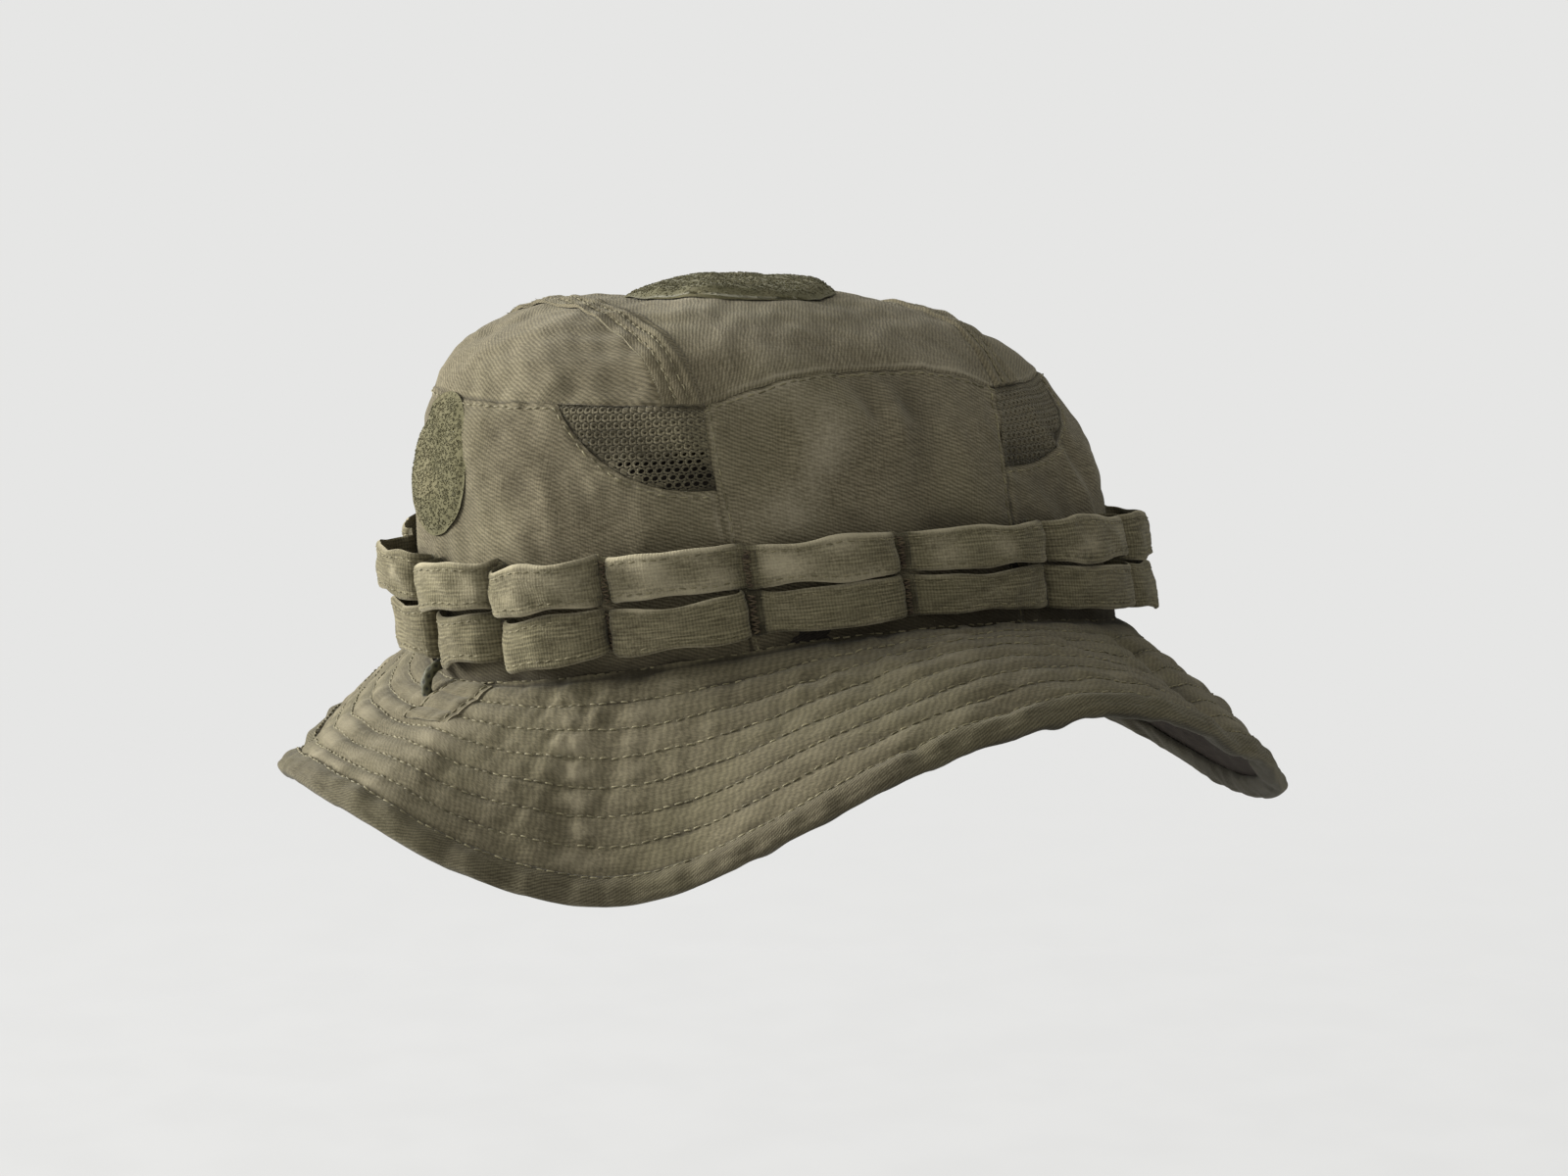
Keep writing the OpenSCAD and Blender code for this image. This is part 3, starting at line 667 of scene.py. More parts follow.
def thread_material(name, dark, light):
    """Twisted sewing thread, each stitch a little lighter or darker."""
    shader = Shader(name)
    spot = shader.place()
    shade = shader.math("MULTIPLY_ADD", shader.field("wear_tone_and_painted_light"), 0.5, 0.5)
    colour = shader.mix(shade, dark, light)
    twist = shader.noise(spot, 3.0, detail=1.0)
    colour = shader.mix(shader.ramp(twist, 0.35, 0.6, 0.0, 0.3), colour, dark)
    shader.surface(colour, 0.6, 0.25, 0.1, 0.4)
    shader.bump(twist, 0.08, 0.5)
    return shader.material


def braid_material():
    """The drawcord's braid: olive strands, darker where they sink between each other as painted shade and
    lighter where they rise, with lighter flecks.
    """
    shader = Shader("braided_cord")
    spot = shader.place()
    # Painted shade: the strands' low places are dark and their crowns light.
    strand = shader.ramp(shader.field("strand"), 0.15, 0.8)
    colour = shader.mix(strand, rgb(34, 34, 24), rgb(78, 77, 56))
    fleck = shader.noise(spot, 1.4, detail=2.0)
    colour = shader.mix(shader.ramp(fleck, 0.55, 0.7, 0, 0.45), colour, rgb(96, 94, 70))
    shader.surface(colour, 0.65, 0.3, 0.1, 0.4)
    shader.bump(shader.noise(spot, 4.0, detail=1.0), 0.06, 0.5)
    return shader.material


def lock_material():
    """Moulded black-olive nylon with a fine spark-eroded texture."""
    shader = Shader("lock_plastic")
    spot = shader.place()
    grain = shader.noise(spot, 3.5, detail=2.0, roughness=0.6)
    cloud = shader.noise(spot, 0.25, detail=2.0)
    colour = shader.mix(shader.ramp(cloud, 0.35, 0.65), rgb(27, 27, 23), rgb(40, 40, 33))
    shader.surface(colour, shader.ramp(cloud, 0.3, 0.7, 0.42, 0.58), 0.4)
    shader.bump(grain, 0.05, 0.5)
    return shader.material


def steel_material():
    """Bright drawn spring wire."""
    shader = Shader("spring_steel")
    spot = shader.place()
    draw = shader.noise(spot, 2.5, detail=2.0)
    colour = shader.mix(draw, rgb(150, 150, 150), rgb(190, 190, 188))
    shader.surface(colour, shader.ramp(draw, 0.3, 0.7, 0.22, 0.38), 0.5, metallic=1.0)
    shader.bump(draw, 0.02, 0.4)
    return shader.material


CLOTH_MATERIAL = woven("hat_cloth", rgb(88, 81, 63), rgb(121, 113, 91), rgb(158, 150, 128),
                       rgb(44, 39, 29), 1.0, seed=1)
BRIM_MATERIAL = woven("brim_cloth", rgb(80, 74, 57), rgb(107, 100, 79), rgb(140, 132, 109),
                      rgb(38, 34, 25), 0.85, seed=2, depth=0.05, contrast=0.55)
WEBBING_MATERIAL = woven("webbing_cloth", rgb(80, 74, 56), rgb(122, 115, 90), rgb(172, 163, 136),
                         rgb(30, 26, 19), 1.05, seed=3, weave=ribbed, depth=0.14, slub=0.65)
TAPE_MATERIAL = woven("tape_cloth", rgb(86, 79, 60), rgb(116, 108, 86), rgb(150, 142, 117),
                      rgb(46, 41, 31), 0.8, seed=4)
UNDER_MATERIAL = woven("under_cloth", rgb(36, 31, 28), rgb(56, 49, 43), rgb(76, 68, 60),
                       rgb(20, 17, 15), 1.0, seed=5, sheen=0.05, olive=0.0)
LINING_MATERIAL = woven("lining_cloth", rgb(34, 31, 27), rgb(52, 47, 41), rgb(72, 66, 58),
                        rgb(18, 16, 14), 0.8, seed=6, sheen=0.05, olive=0.0)
MESH_MATERIAL = woven("vent_knit", rgb(80, 74, 58), rgb(110, 103, 83), rgb(136, 128, 106),
                      rgb(32, 29, 22), 0.8, seed=7, depth=0.08)
HEM_MATERIAL = woven("hem_cloth", rgb(70, 64, 49), rgb(96, 90, 71), rgb(126, 119, 98),
                     rgb(26, 23, 17), 0.75, seed=8, depth=0.08)
PILE_MATERIAL = pile_material()
THREAD_MATERIAL = thread_material("seam_thread", rgb(90, 84, 60), rgb(136, 128, 98))
DARK_THREAD_MATERIAL = thread_material("dark_thread", rgb(58, 46, 34), rgb(104, 92, 68))
CORD_MATERIAL = braid_material()
LOCK_MATERIAL = lock_material()
STEEL_MATERIAL = steel_material()

# ------------------------------------------------------------------ the crown

DEGREE = 1.65    # millimetres of crown for a degree of azimuth, about

# Soft folds: from (azimuth, height share) to (azimuth, height share), half width, and height,
# which FOLD_GAIN scales
FOLD_GAIN = 1.3
CROWN_FOLDS = [
    (74, 0.70, 67, 0.50, 7.0, -1.9), (85, 0.73, 78, 0.50, 5.0, 1.2),
    (90.5, 0.76, 91.5, 0.64, 2.6, -1.3), (95.5, 0.75, 93, 0.58, 2.4, 0.9),
    (100, 0.74, 97, 0.52, 3.0, -0.9), (106, 0.70, 104, 0.45, 4.5, 0.7),
    (129, 0.60, 138, 0.33, 3.0, 1.5), (133.5, 0.62, 143, 0.36, 3.2, -1.3),
    (123, 0.44, 127, 0.36, 3.0, -0.6), (44, 0.66, 60, 0.585, 3.4, -1.7),
    (50, 0.72, 62, 0.665, 3.0, 0.9), (56, 0.50, 50, 0.38, 4.0, 0.7),
    (30, 0.60, 24, 0.45, 6.0, -0.7), (9, 0.74, 15, 0.58, 6.0, 0.8),
    (156, 0.62, 163, 0.40, 5.0, 1.1), (170, 0.70, 174, 0.44, 5.0, -1.0),
    (-70, 0.68, -64, 0.48, 6.0, -1.6), (-84, 0.74, -78, 0.50, 4.5, 1.1),
    (-98, 0.72, -94, 0.50, 4.0, -1.1), (-128, 0.58, -138, 0.34, 4.0, 1.3),
    (-150, 0.66, -160, 0.42, 5.0, -1.0), (-40, 0.60, -30, 0.42, 5.0, 0.9),
    (-18, 0.70, -12, 0.50, 6.0, -0.8), (188, 0.66, 182, 0.42, 5.0, 0.9),
]


def fold_relief(t, h):
    """The crown's soft folds, in mm."""
    total = np.zeros(np.broadcast(t, h).shape)
    for t0, h0, t1, h1, width, height in CROWN_FOLDS:
        middle = (t0 + t1) / 2
        x = ((t - middle + 540) % 360 - 180) * DEGREE
        y = h * HEIGHT
        ax, ay = (t0 - middle) * DEGREE, h0 * HEIGHT
        bx, by = (t1 - middle) * DEGREE, h1 * HEIGHT
        f = ((x - ax) * (bx - ax) + (y - ay) * (by - ay)) / ((bx - ax) ** 2 + (by - ay) ** 2)
        f = np.clip(f, 0, 1)
        far = np.hypot(x - lerp(ax, bx, f), y - lerp(ay, by, f))
        total += FOLD_GAIN * height * np.exp(-0.5 * (far / width) ** 2) * (1 - 0.5 * (2 * f - 1) ** 2)
    return total


def crown_relief(points):
    """Gentle unevenness of well-used cloth and a flattened rear, in mm."""
    x, y, z = np.moveaxis(points, -1, 0)
    rear = 2.8 * np.exp(-((x / 62) ** 2) - ((z - 60) / 27) ** 2) * step(-y, 20, 75)
    return (0.55 * ripples(points, 42, 11) + 0.25 * ripples(points, 18, 12)
            + 0.10 * ripples(points, 8, 13) - rear)


def sewn(sheet, borders, puckers=0.26, stitched=()):
    """Relief near sewn borders: the edge rolls in, a stitched line sinks, the cloth puckers."""
    relief = np.zeros(sheet.points.shape[:2])
    gather = ripples(sheet.points, 6.5, 21) * puckers
    for border in borders:
        d = sheet.to[border]
        relief -= 0.45 * hump(d, 0.8)
        relief += gather * np.exp(-d / 4.5)
    for border, inset in stitched:
        relief -= 0.22 * hump(sheet.to[border] - inset, 0.55)
    return relief


RUBBED = 1.9 * 0.75     # how far inside a seam the cloth is drawn palest, rubbed and as painted highlight


def wear_and_shading(sheet, relief, borders):
    """The field of rubbing and painted light: positive on raised cloth and just inside seams, rubbed and
    as painted highlight; negative as painted shade in seams and creases.
    """
    field = np.clip(relief * 0.20, -0.7, 0.4)
    for border in borders:
        d = sheet.to[border]
        field = field - 0.5 * hump(d, 0.5) + 0.30 * hump(d - RUBBED, 0.8)
    return field


def wall_grid(t_low, t_high, h_high, na, nb):
    """Azimuths and height shares of a wall panel between two seams, from the brim to a height."""
    u, v = unit_grid(na, nb)
    h = 0.75 * v
    for _ in range(12):
        t = lerp(t_low(h), t_high(h), u)
        h = h_high(t) * v
    return t, h


seam_runs, tape_runs = [], []
seam_random = np.random.default_rng(5)


def crown_piece(node, sheet, relief, field, stitched=()):
    """A piece of the crown's cloth and the stitches along its borders."""
    sheet.raise_by(relief)
    cloth_piece(node, sheet, CLOTH, CLOTH_MATERIAL, field)
    for border, inset in stitched:
        seam_runs.append(stitch_run(*sheet.line(border, inset), seam_random))


def wall_panel(node, t_low, t_high, h_high, na, stitched):
    """A piece of the crown's wall between two seams, from the brim up to h_high."""
    t, h = wall_grid(t_low, t_high, h_high, na, 96)
    sheet = Sheet(crown(t, h))
    soft = crown_relief(sheet.points) + fold_relief(t, h)
    borders = ["left", "right", "high"]
    stitched = [*stitched, ("high", 1.7), ("low", STRIP_LINE)]
    relief = soft + sewn(sheet, borders, stitched=stitched)
    field = wear_and_shading(sheet, soft, borders)
    # Painted shade: the wall is darker just above the brim and on its lower part, under the webbing. It
    # is also lighter round azimuth 72 and darker round 97 and 125, painted light and shade on the side
    # and front panels.
    field = field - 0.8 * hump(h * HEIGHT, 7.0) - 0.35 * step(h * HEIGHT, 42, 30)
    field = field + 0.45 * bump(t, 72, 9) - 0.40 * bump(t, 97, 9) - 0.2 * bump(t, 125, 14)
    crown_piece(node, sheet, relief, field, stitched)


def rear_height(t):
    a = np.abs(t)
    return np.where(a > 30, np.minimum(top_seam(t), vent_rear_low(a)), top_seam(t))


def front_height(t):
    return np.minimum(top_seam(t), vent_front_low(180 - np.abs(t - 180)))


STRIP_LINE = 1.7    # the seam stitches just above the brim

wall_panel("rear_panel", lambda h: -side_rear(h), side_rear, rear_height, 250, [])
wall_panel("front_panel", side_front, lambda h: 360 - side_front(h), front_height, 250, [])
for node, sign in (("right_side_panel", 1), ("left_side_panel", -1)):
    wall_panel(node, lambda h, s=sign: s * side_rear(h), lambda h, s=sign: s * side_front(h),
               top_seam, 104, [("left", 1.8), ("right", 1.8)])


def roof_panel(node, x, y, borders):
    """A piece of the crown's top over a grid of its plan."""
    sheet = Sheet(roof(x, y))
    soft = crown_relief(sheet.points)
    crown_piece(node, sheet, soft + sewn(sheet, borders, 0.16), wear_and_shading(sheet, soft, borders) + 0.18)


def centre_panel():
    """The crown's top between the two tapes."""
    u, v = unit_grid(170, 110)
    x, y = seam_plan(lerp(SIDE_REAR_TOP + 0.2, SIDE_FRONT_TOP - 0.2, v))
    x = x * np.sin(np.radians(lerp(-90, 90, u)))
    roof_panel("crown_centre_panel", x, np.broadcast_to(y, x.shape), ["left", "right"])


def end_cap(node, end):
    """A cap between an end panel's top seam and the tape over the crown."""
    reach = SIDE_REAR_TOP - 0.6 if end < 0 else 180 - SIDE_FRONT_TOP - 0.6
    u, v = unit_grid(170, 60)
    a = lerp(-reach, reach, u)
    low_x, low_y = seam_plan(a if end < 0 else 180 - a)
    far_y = seam_plan(SIDE_REAR_TOP + 0.2 if end < 0 else SIDE_FRONT_TOP - 0.2)[1]
    x = low_x * np.ones_like(v)
    y = lerp(low_y, far_y, v) if end < 0 else lerp(far_y, low_y, v)
    roof_panel(node, x, y, ["low" if end < 0 else "high"])


centre_panel()
end_cap("crown_rear_cap", -1)
end_cap("crown_front_cap", 1)

# ------------------------------------------------------------ the mesh vents

HOLE_PITCH, HOLE = 2.4, ((0.80, 0.28), (-0.22, 0.58))      # slanted oval holes
ROW_PITCH = 0.87      # the rows' step as a share of the holes' pitch
CELL_SIDES, KNIT = 12, 0.55


def vent_net(cells_u, cells_v):
    """A flat staggered net, in mm: 25 points a cell, on its rim, round its hole and in its middle."""
    angle = np.arange(CELL_SIDES) * math.pi / 6
    ring = np.stack([np.cos(angle), np.sin(angle)], axis=-1)
    square = ring / np.maximum(np.abs(ring[:, :1]), np.abs(ring[:, 1:])) * 0.5
    flat = []
    for row in range(-2, cells_v):
        for column in range(-cells_u // 2 - 1, cells_u // 2 + 2):
            middle = np.array([(column + 0.5 * (row % 2)) * HOLE_PITCH,
                               (0.49 * HEIGHT) + row * HOLE_PITCH * ROW_PITCH])
            flat.extend(middle + square * [HOLE_PITCH, HOLE_PITCH * ROW_PITCH])
            flat.extend(middle + ring @ HOLE * (1.0 - 0.40 * step(middle[1] / HEIGHT, 0.56, 0.66)))
            flat.append(middle)
    return np.array(flat)


def net_faces(moved):
    """Faces of the net's cells: whole cells keep their hole, and those cut by the outline are filled."""
    quad, tri = [], []
    centre = 2 * CELL_SIDES
    for start in range(0, len(moved), centre + 1):
        if moved[start:start + CELL_SIDES].min() > 0.9 and moved[start + centre] > 1e-6:
            continue
        holed = moved[start:start + centre].max() < 1e-6
        for k in range(CELL_SIDES):
            a, b = start + k, start + (k + 1) % CELL_SIDES
            quad.append((a, b, b + CELL_SIDES, a + CELL_SIDES))
            if not holed:
                tri.append((a + CELL_SIDES, b + CELL_SIDES, start + centre))
    return np.array(quad), np.array(tri)


def open_edges(faces):
    """The edges that only one face has, in that face's direction."""
    edges = {}
    for face in faces:
        for k, a in enumerate(face):
            b = face[(k + 1) % len(face)]
            if (b, a) in edges:
                del edges[(b, a)]
            else:
                edges[(a, b)] = True
    return edges


def vent(node, sign, t_start, t_end, low):
    """A perforated knit panel: a staggered net of holes, cut to the vent's outline."""
    middle_t = (t_start(0.65) + t_end(0.65)) / 2
    cells_u = int(abs(t_end(0.65) - t_start(0.65)) * DEGREE / HOLE_PITCH) + 6
    cells_v = int(0.30 * HEIGHT / (HOLE_PITCH * ROW_PITCH)) + 2
    flat = vent_net(cells_u, cells_v)
    t, h = middle_t + flat[:, 0] / DEGREE, flat[:, 1] / HEIGHT
    for _ in range(3):
        t = np.minimum(np.maximum(t, t_start(h)), t_end(h))
        h = np.minimum(np.maximum(h, low(t)), top_seam(t))
    quad, tri = net_faces(np.hypot((t - middle_t) * DEGREE - flat[:, 0], h * HEIGHT - flat[:, 1]))
    used = np.unique(np.concatenate([quad.ravel(), tri.ravel()]))
    index = np.full(len(flat), -1)
    index[used] = np.arange(len(used))
    quad, tri, t, h, flat = index[quad], index[tri], t[used], h[used], flat[used]
    base = crown(t, h)
    ahead, above = crown(t + 0.3, h), crown(t, h + 0.004)
    normals = unit(np.cross(ahead - base, above - base))
    soft = crown_relief(base) + fold_relief(sign * t, h)
    edge = np.minimum(h - low(t), top_seam(t) - h) * HEIGHT
    top = base + normals * (soft - 0.3 - 0.5 * hump(edge, 1.0))[:, None]
    points = np.concatenate([top, top - normals * KNIT])
    points[:, 0] *= sign
    if sign < 0:
        quad, tri = quad[:, ::-1], tri[:, ::-1]
    count = len(top)
    edges = open_edges([*quad.tolist(), *tri.tolist()])
    rim = np.array([(b, a, a + count, b + count) for a, b in edges])
    faces = [quad, quad[:, ::-1] + count, tri, tri[:, ::-1] + count, rim]
    cloth = np.tile(flat, (2, 1))
    # The knit is drawn darker along its edges, as painted shade at the seams, and darker on its lower
    # part.
    field = np.clip(soft * 0.3, -0.6, 0.5) - 0.3 * hump(edge, 1.0) - 0.45 * step(-h, -0.64, -0.54)
    piece = add_mesh(node + "_knit", points, faces, MESH_MATERIAL, [cloth[f] for f in faces],
                     {"wear_tone_and_painted_light": np.tile(field, 2)}, [False, False, False, False, True])
    hold(piece, "hat", "mesh", node)


def constant(value):
    return lambda h: value + 0.0 * h


for node, sign in (("vent_rear_right", 1), ("vent_rear_left", -1)):
    vent(node, sign, constant(33.5), side_rear, vent_rear_low)
for node, sign in (("vent_front_right", 1), ("vent_front_left", -1)):
    vent(node, sign, side_front, constant(152.5), vent_front_low)

# -------------------------------------------------------------- the seam tapes

TAPE_WIDTH, TAPE_SWEEP = 9.4, 3.0
TAPE_STEPS, TAPE_ACROSS = 260, 28
REAR_TAPE_Y, FRONT_TAPE_Y = -56.0, 41.0


def seam_tape(node, end):
    """A tape over the seam between a cap and the centre panel, stitched down twice."""
    u, v = unit_grid(TAPE_STEPS, TAPE_ACROSS)
    seam_x, seam_y = seam_plan(np.linspace(20, 160, 281))
    end_line = REAR_TAPE_Y if end < 0 else FRONT_TAPE_Y
    end_y = end_line + end + TAPE_WIDTH * (v - 0.5)
    reach = np.interp(end_y, seam_y, seam_x) - 0.2
    x = reach * np.sin(np.radians(lerp(-90, 90, u)))
    middle = end_line + end * TAPE_SWEEP * (1 - (x / HALF_WIDTH) ** 2)
    sheet = Sheet(roof(x, middle + TAPE_WIDTH * (v - 0.5)))
    across = v if end < 0 else 1 - v
    ribs = 0.6 * np.abs(np.sin(3 * math.pi * (0.04 + 0.92 * across))) ** 0.7
    lifted = 0.3 * hump(across, 0.07) * (1 + 0.4 * ripples(sheet.points, 14, 31))
    tucked = -0.9 * hump(1 - across, 0.05)
    soft = crown_relief(sheet.points)
    relief = 0.7 + ribs + lifted + tucked + soft + 0.06 * ripples(sheet.points, 7, 32)
    # Lighter on the ribs and darker, as painted shade, in the grooves between them; lighter along the
    # lifted, frayed edge.
    field = 0.30 * (ribs - 0.35) + 0.45 * hump(across, 0.06)
    sheet.raise_by(relief)
    cloth_piece(node, sheet, 1.0, TAPE_MATERIAL, field * np.ones_like(relief))
    i = np.arange(2, TAPE_STEPS - 1, dtype=float)
    for share in (0.35, 0.65):
        line = sheet.at(i, np.full(len(i), share * TAPE_ACROSS))
        tape_runs.append(stitch_run(*line, seam_random, radius=0.22))
    return sheet


rear_tape = seam_tape("rear_seam_tape", -1)
seam_tape("front_seam_tape", 1)


def frayed_edge():
    """Loose threads along the rear tape's raised rear edge, each a short bent spike."""
    rng, count = np.random.default_rng(41), 90
    i = rng.uniform(4, TAPE_STEPS - 4, count)
    roots, normals = rear_tape.at(i, np.full(count, 0.4))
    ahead = rear_tape.at(np.minimum(i + 1, TAPE_STEPS - 1), np.full(count, 0.4))[0]
    back = unit(roots - rear_tape.at(i, np.full(count, 2.0))[0])
    ways = unit(back + 0.6 * normals * rng.uniform(-0.4, 1, (count, 1))
                + unit(ahead - roots) * rng.normal(0, 0.7, (count, 1)))
    lengths = rng.uniform(0.4, 1.1, count)[:, None, None]
    sway = unit(np.cross(ways, np.random.default_rng(42).normal(size=(count, 3))))
    f = np.linspace(0, 1, 4)[None, :, None]
    centre = roots[:, None] + lengths * (ways[:, None] * f + sway[:, None] * 0.45 * f**2)
    side = unit(np.cross(ways, sway))
    beads = tube_rings(centre, side[:, None], sway[:, None], 0.10 * (1 - 0.75 * f[..., None]), 3)
    stitches("rear_tape_fray", [beads], THREAD_MATERIAL, "cloth")


frayed_edge()

# ------------------------------------------------------------ the loop patches

PATCH_RADIUS, PATCH_Y, REAR_PATCH_RADIUS, REAR_PATCH_Z = 30.0, -13.0, 19.0, 56.0
PATCH_SECTORS, PATCH_RINGS, PATCH_CENTRE = 144, 30, 0.005     # its grid, and the share left open
LOOPS_PER_MM2, YARN_RADIUS = 1.6, 0.11
GOLDEN_TURN = 3 - math.sqrt(5)     # the golden angle, in half turns


def patch(node, spot, radius, thick, seed):
    """A round patch of loop pile: a domed disc with a sewn edge, covered with tiny loops."""
    a = np.radians(np.linspace(0, 360, PATCH_SECTORS + 1))[:, None]
    wobble = 1 + 0.008 * np.sin(3 * a + seed) + 0.003 * np.sin(7 * a + 1)
    r = (radius * np.linspace(PATCH_CENTRE, 1, PATCH_RINGS)[None]) * wobble
    sheet = Sheet(spot(r * np.cos(a), r * np.sin(a), 0.7), ring=True)
    share = r / radius
    dome = thick * (1 - share**8) - 0.25 * hump(share - 0.93, 0.02)
    sheet.raise_by(crown_relief(sheet.points) + dome + 0.05 * ripples(sheet.points, 6, seed))
    field = -0.5 * hump(share - 0.95, 0.02) + 0.15 * ripples(sheet.points, 14, seed + 1)
    under = crown_relief(sheet.points)[..., None]
    back = spot(r * np.cos(a), r * np.sin(a), 0.45) + sheet.normals * under
    hold(slab(node + "_backing", sheet, 1.2, PILE_MATERIAL, field, back), "hat", "loop_pile", node)
    rng = np.random.default_rng(seed)
    count = int(LOOPS_PER_MM2 * radius**2 * math.pi)
    k = np.arange(count) + 0.5
    rr = radius * 0.985 * np.sqrt(k / count)
    aa = k * math.pi * GOLDEN_TURN + rng.uniform(-0.3, 0.3, count)
    i = (np.degrees(aa) % 360) / 360 * PATCH_SECTORS
    last = PATCH_RINGS - 1
    j = np.clip((rr / radius - PATCH_CENTRE) / (1 - PATCH_CENTRE) * last, 0, last - 0.01)
    roots, up = sheet.at(i, j)
    lean = unit(up + rng.normal(0, 0.35, (count, 3)))
    side = unit(np.cross(lean, rng.normal(size=(count, 3))))
    f = np.linspace(0, math.pi, 6)[None, :, None]
    tall = rng.uniform(0.25, 0.5, count)[:, None, None]
    wide = rng.uniform(0.25, 0.4, count)[:, None, None]
    low = np.where(rr[:, None, None] > radius * 0.92, 0.5, 1.0)
    centre = (roots[:, None] + lean[:, None] * (tall * low * np.sin(f) - 0.15)
              + side[:, None] * wide * np.cos(f))
    along = unit(lean[:, None] * np.cos(f) * tall - side[:, None] * np.sin(f) * wide)
    third = unit(np.cross(along, np.cross(lean, side)[:, None]))
    beads = tube_rings(centre, third, np.cross(along, third), YARN_RADIUS, 3)
    stitches(node + "_loops", [beads], PILE_MATERIAL, "loop_pile")


def top_spot(a, b, out):
    return roof(a, PATCH_Y + b, out)


def rear_spot(a, b, out):
    return wall(np.degrees(np.arcsin(a / HALF_WIDTH)), REAR_PATCH_Z + b, out)


patch("top_loop_patch", top_spot, PATCH_RADIUS, 2.9, 51)
patch("rear_loop_patch", rear_spot, REAR_PATCH_RADIUS, 0.6, 61)

# ---------------------------------------------------------------- the webbing

BARTACKS = (4.5, 23, 43, 65.5, 89.5, 116, 143, 171, 200, 229, 257, 284, 311, 338.5)
LOOPS = len(BARTACKS)
ROW_Z, ROW_DROP = (7.2, 20.6), 3.0
WEB_WIDTH, WEB_THICK, WEB_BASE = 12.6, 1.3, 0.6
LOOP_STEPS = 44
TACK = 0.07     # share of a loop that lies flat at each bartack
EDGE_LINES = (0.17, 0.83)     # the rows of stitches, as shares of the webbing's width


def bartack_t(k):
    return BARTACKS[k % LOOPS] + 360 * (k // LOOPS)


def row_low(row, t):
    return ROW_Z[row] - ROW_DROP * bump(t, 180, 30)


# For each loop: its stand-off, how late it peaks, how far each end bulges over its bartack, and how
# gently each end rises; first the lower row and then the upper one
LOOP_SHAPES = {
    12: [(4.0, 1.0, 0.1, 0.1, 0.7, 0.7), (3.0, 1.0, 0.1, 0.2, 0.7, 0.7)],
    13: [(7.8, 1.0, 0.30, 0.30, 0.6, 0.6), (9.8, 1.0, 0.35, 0.40, 0.6, 0.6)],
    0: [(6.2, 1.0, 0.10, -0.35, 0.6, 0.7), (9.5, 1.0, 0.55, 0.45, 0.6, 0.6)],
    1: [(8.0, 1.0, 0.12, 0.15, 0.6, 0.7), (9.6, 1.0, 0.35, 0.05, 0.55, 0.8)],
    2: [(6.0, 1.0, 0.35, 0.05, 0.6, 0.45), (4.8, 1.0, 0.10, 0.0, 0.7, 1.4)],
    3: [(6.2, 1.3, -0.10, 0.06, 1.0, 0.40), (5.4, 1.35, -0.10, 0.0, 1.1, 0.38)],
    4: [(6.2, 1.3, 0.0, 0.12, 1.0, 0.50), (7.2, 1.5, 0.0, 0.20, 1.0, 0.45)],
    5: [(9.0, 1.3, 0.10, 0.35, 0.9, 0.45), (8.0, 1.2, 0.15, 0.28, 0.9, 0.5)],
    6: [(11.5, 1.0, 0.30, 0.30, 0.7, 0.6), (11.0, 1.0, 0.25, 0.25, 0.7, 0.6)],
    7: [(10.0, 1.0, 0.25, 0.30, 0.7, 0.6), (10.0, 1.0, 0.25, 0.25, 0.7, 0.6)],
}
SAGGING = (12, 13, 0, 1)      # loops whose left ends hang a little


def loop_shape(k, row):
    k = k % LOOPS
    if k in LOOP_SHAPES:
        return LOOP_SHAPES[k][row]
    rng = np.random.default_rng(100 * k + row)
    stand, late = rng.uniform(6.5, 9.5), rng.uniform(0.85, 1.3)
    return stand, late, *rng.uniform(0.0, 0.3, 2), *rng.uniform(0.5, 1.0, 2)


def loop_path(row):
    """Azimuth and stand-off along a row, and the share of the loop, for every step round the hat."""
    t, out, share, loop = [], [], [], []
    for k in range(LOOPS):
        stand, late, bulge_a, bulge_b, soft_a, soft_b = loop_shape(k, row)
        start, end = bartack_t(k), bartack_t(k + 1)
        f = np.arange(LOOP_STEPS) / LOOP_STEPS
        inner = np.clip((f - TACK) / (1 - 2 * TACK), 0, 1)
        phi = math.pi * inner
        bulge = lerp(bulge_a, bulge_b, inner)
        a = 0.5 - 0.5 * np.cos(phi) * (1 + bulge * np.sin(phi))
        a = np.where(f < TACK, f, np.where(f > 1 - TACK, f, TACK + (1 - 2 * TACK) * a))
        high = stand * np.sin(math.pi * inner**late) ** lerp(soft_a, soft_b, inner)
        t.append(lerp(start, end, a))
        out.append(WEB_BASE + high)
        share.append(f)
        loop.append(np.full(LOOP_STEPS, k))
    return (np.concatenate(x) for x in (t, out, share, loop))


web_runs, tack_runs = [], []
web_random = np.random.default_rng(71)
ACROSS = 27


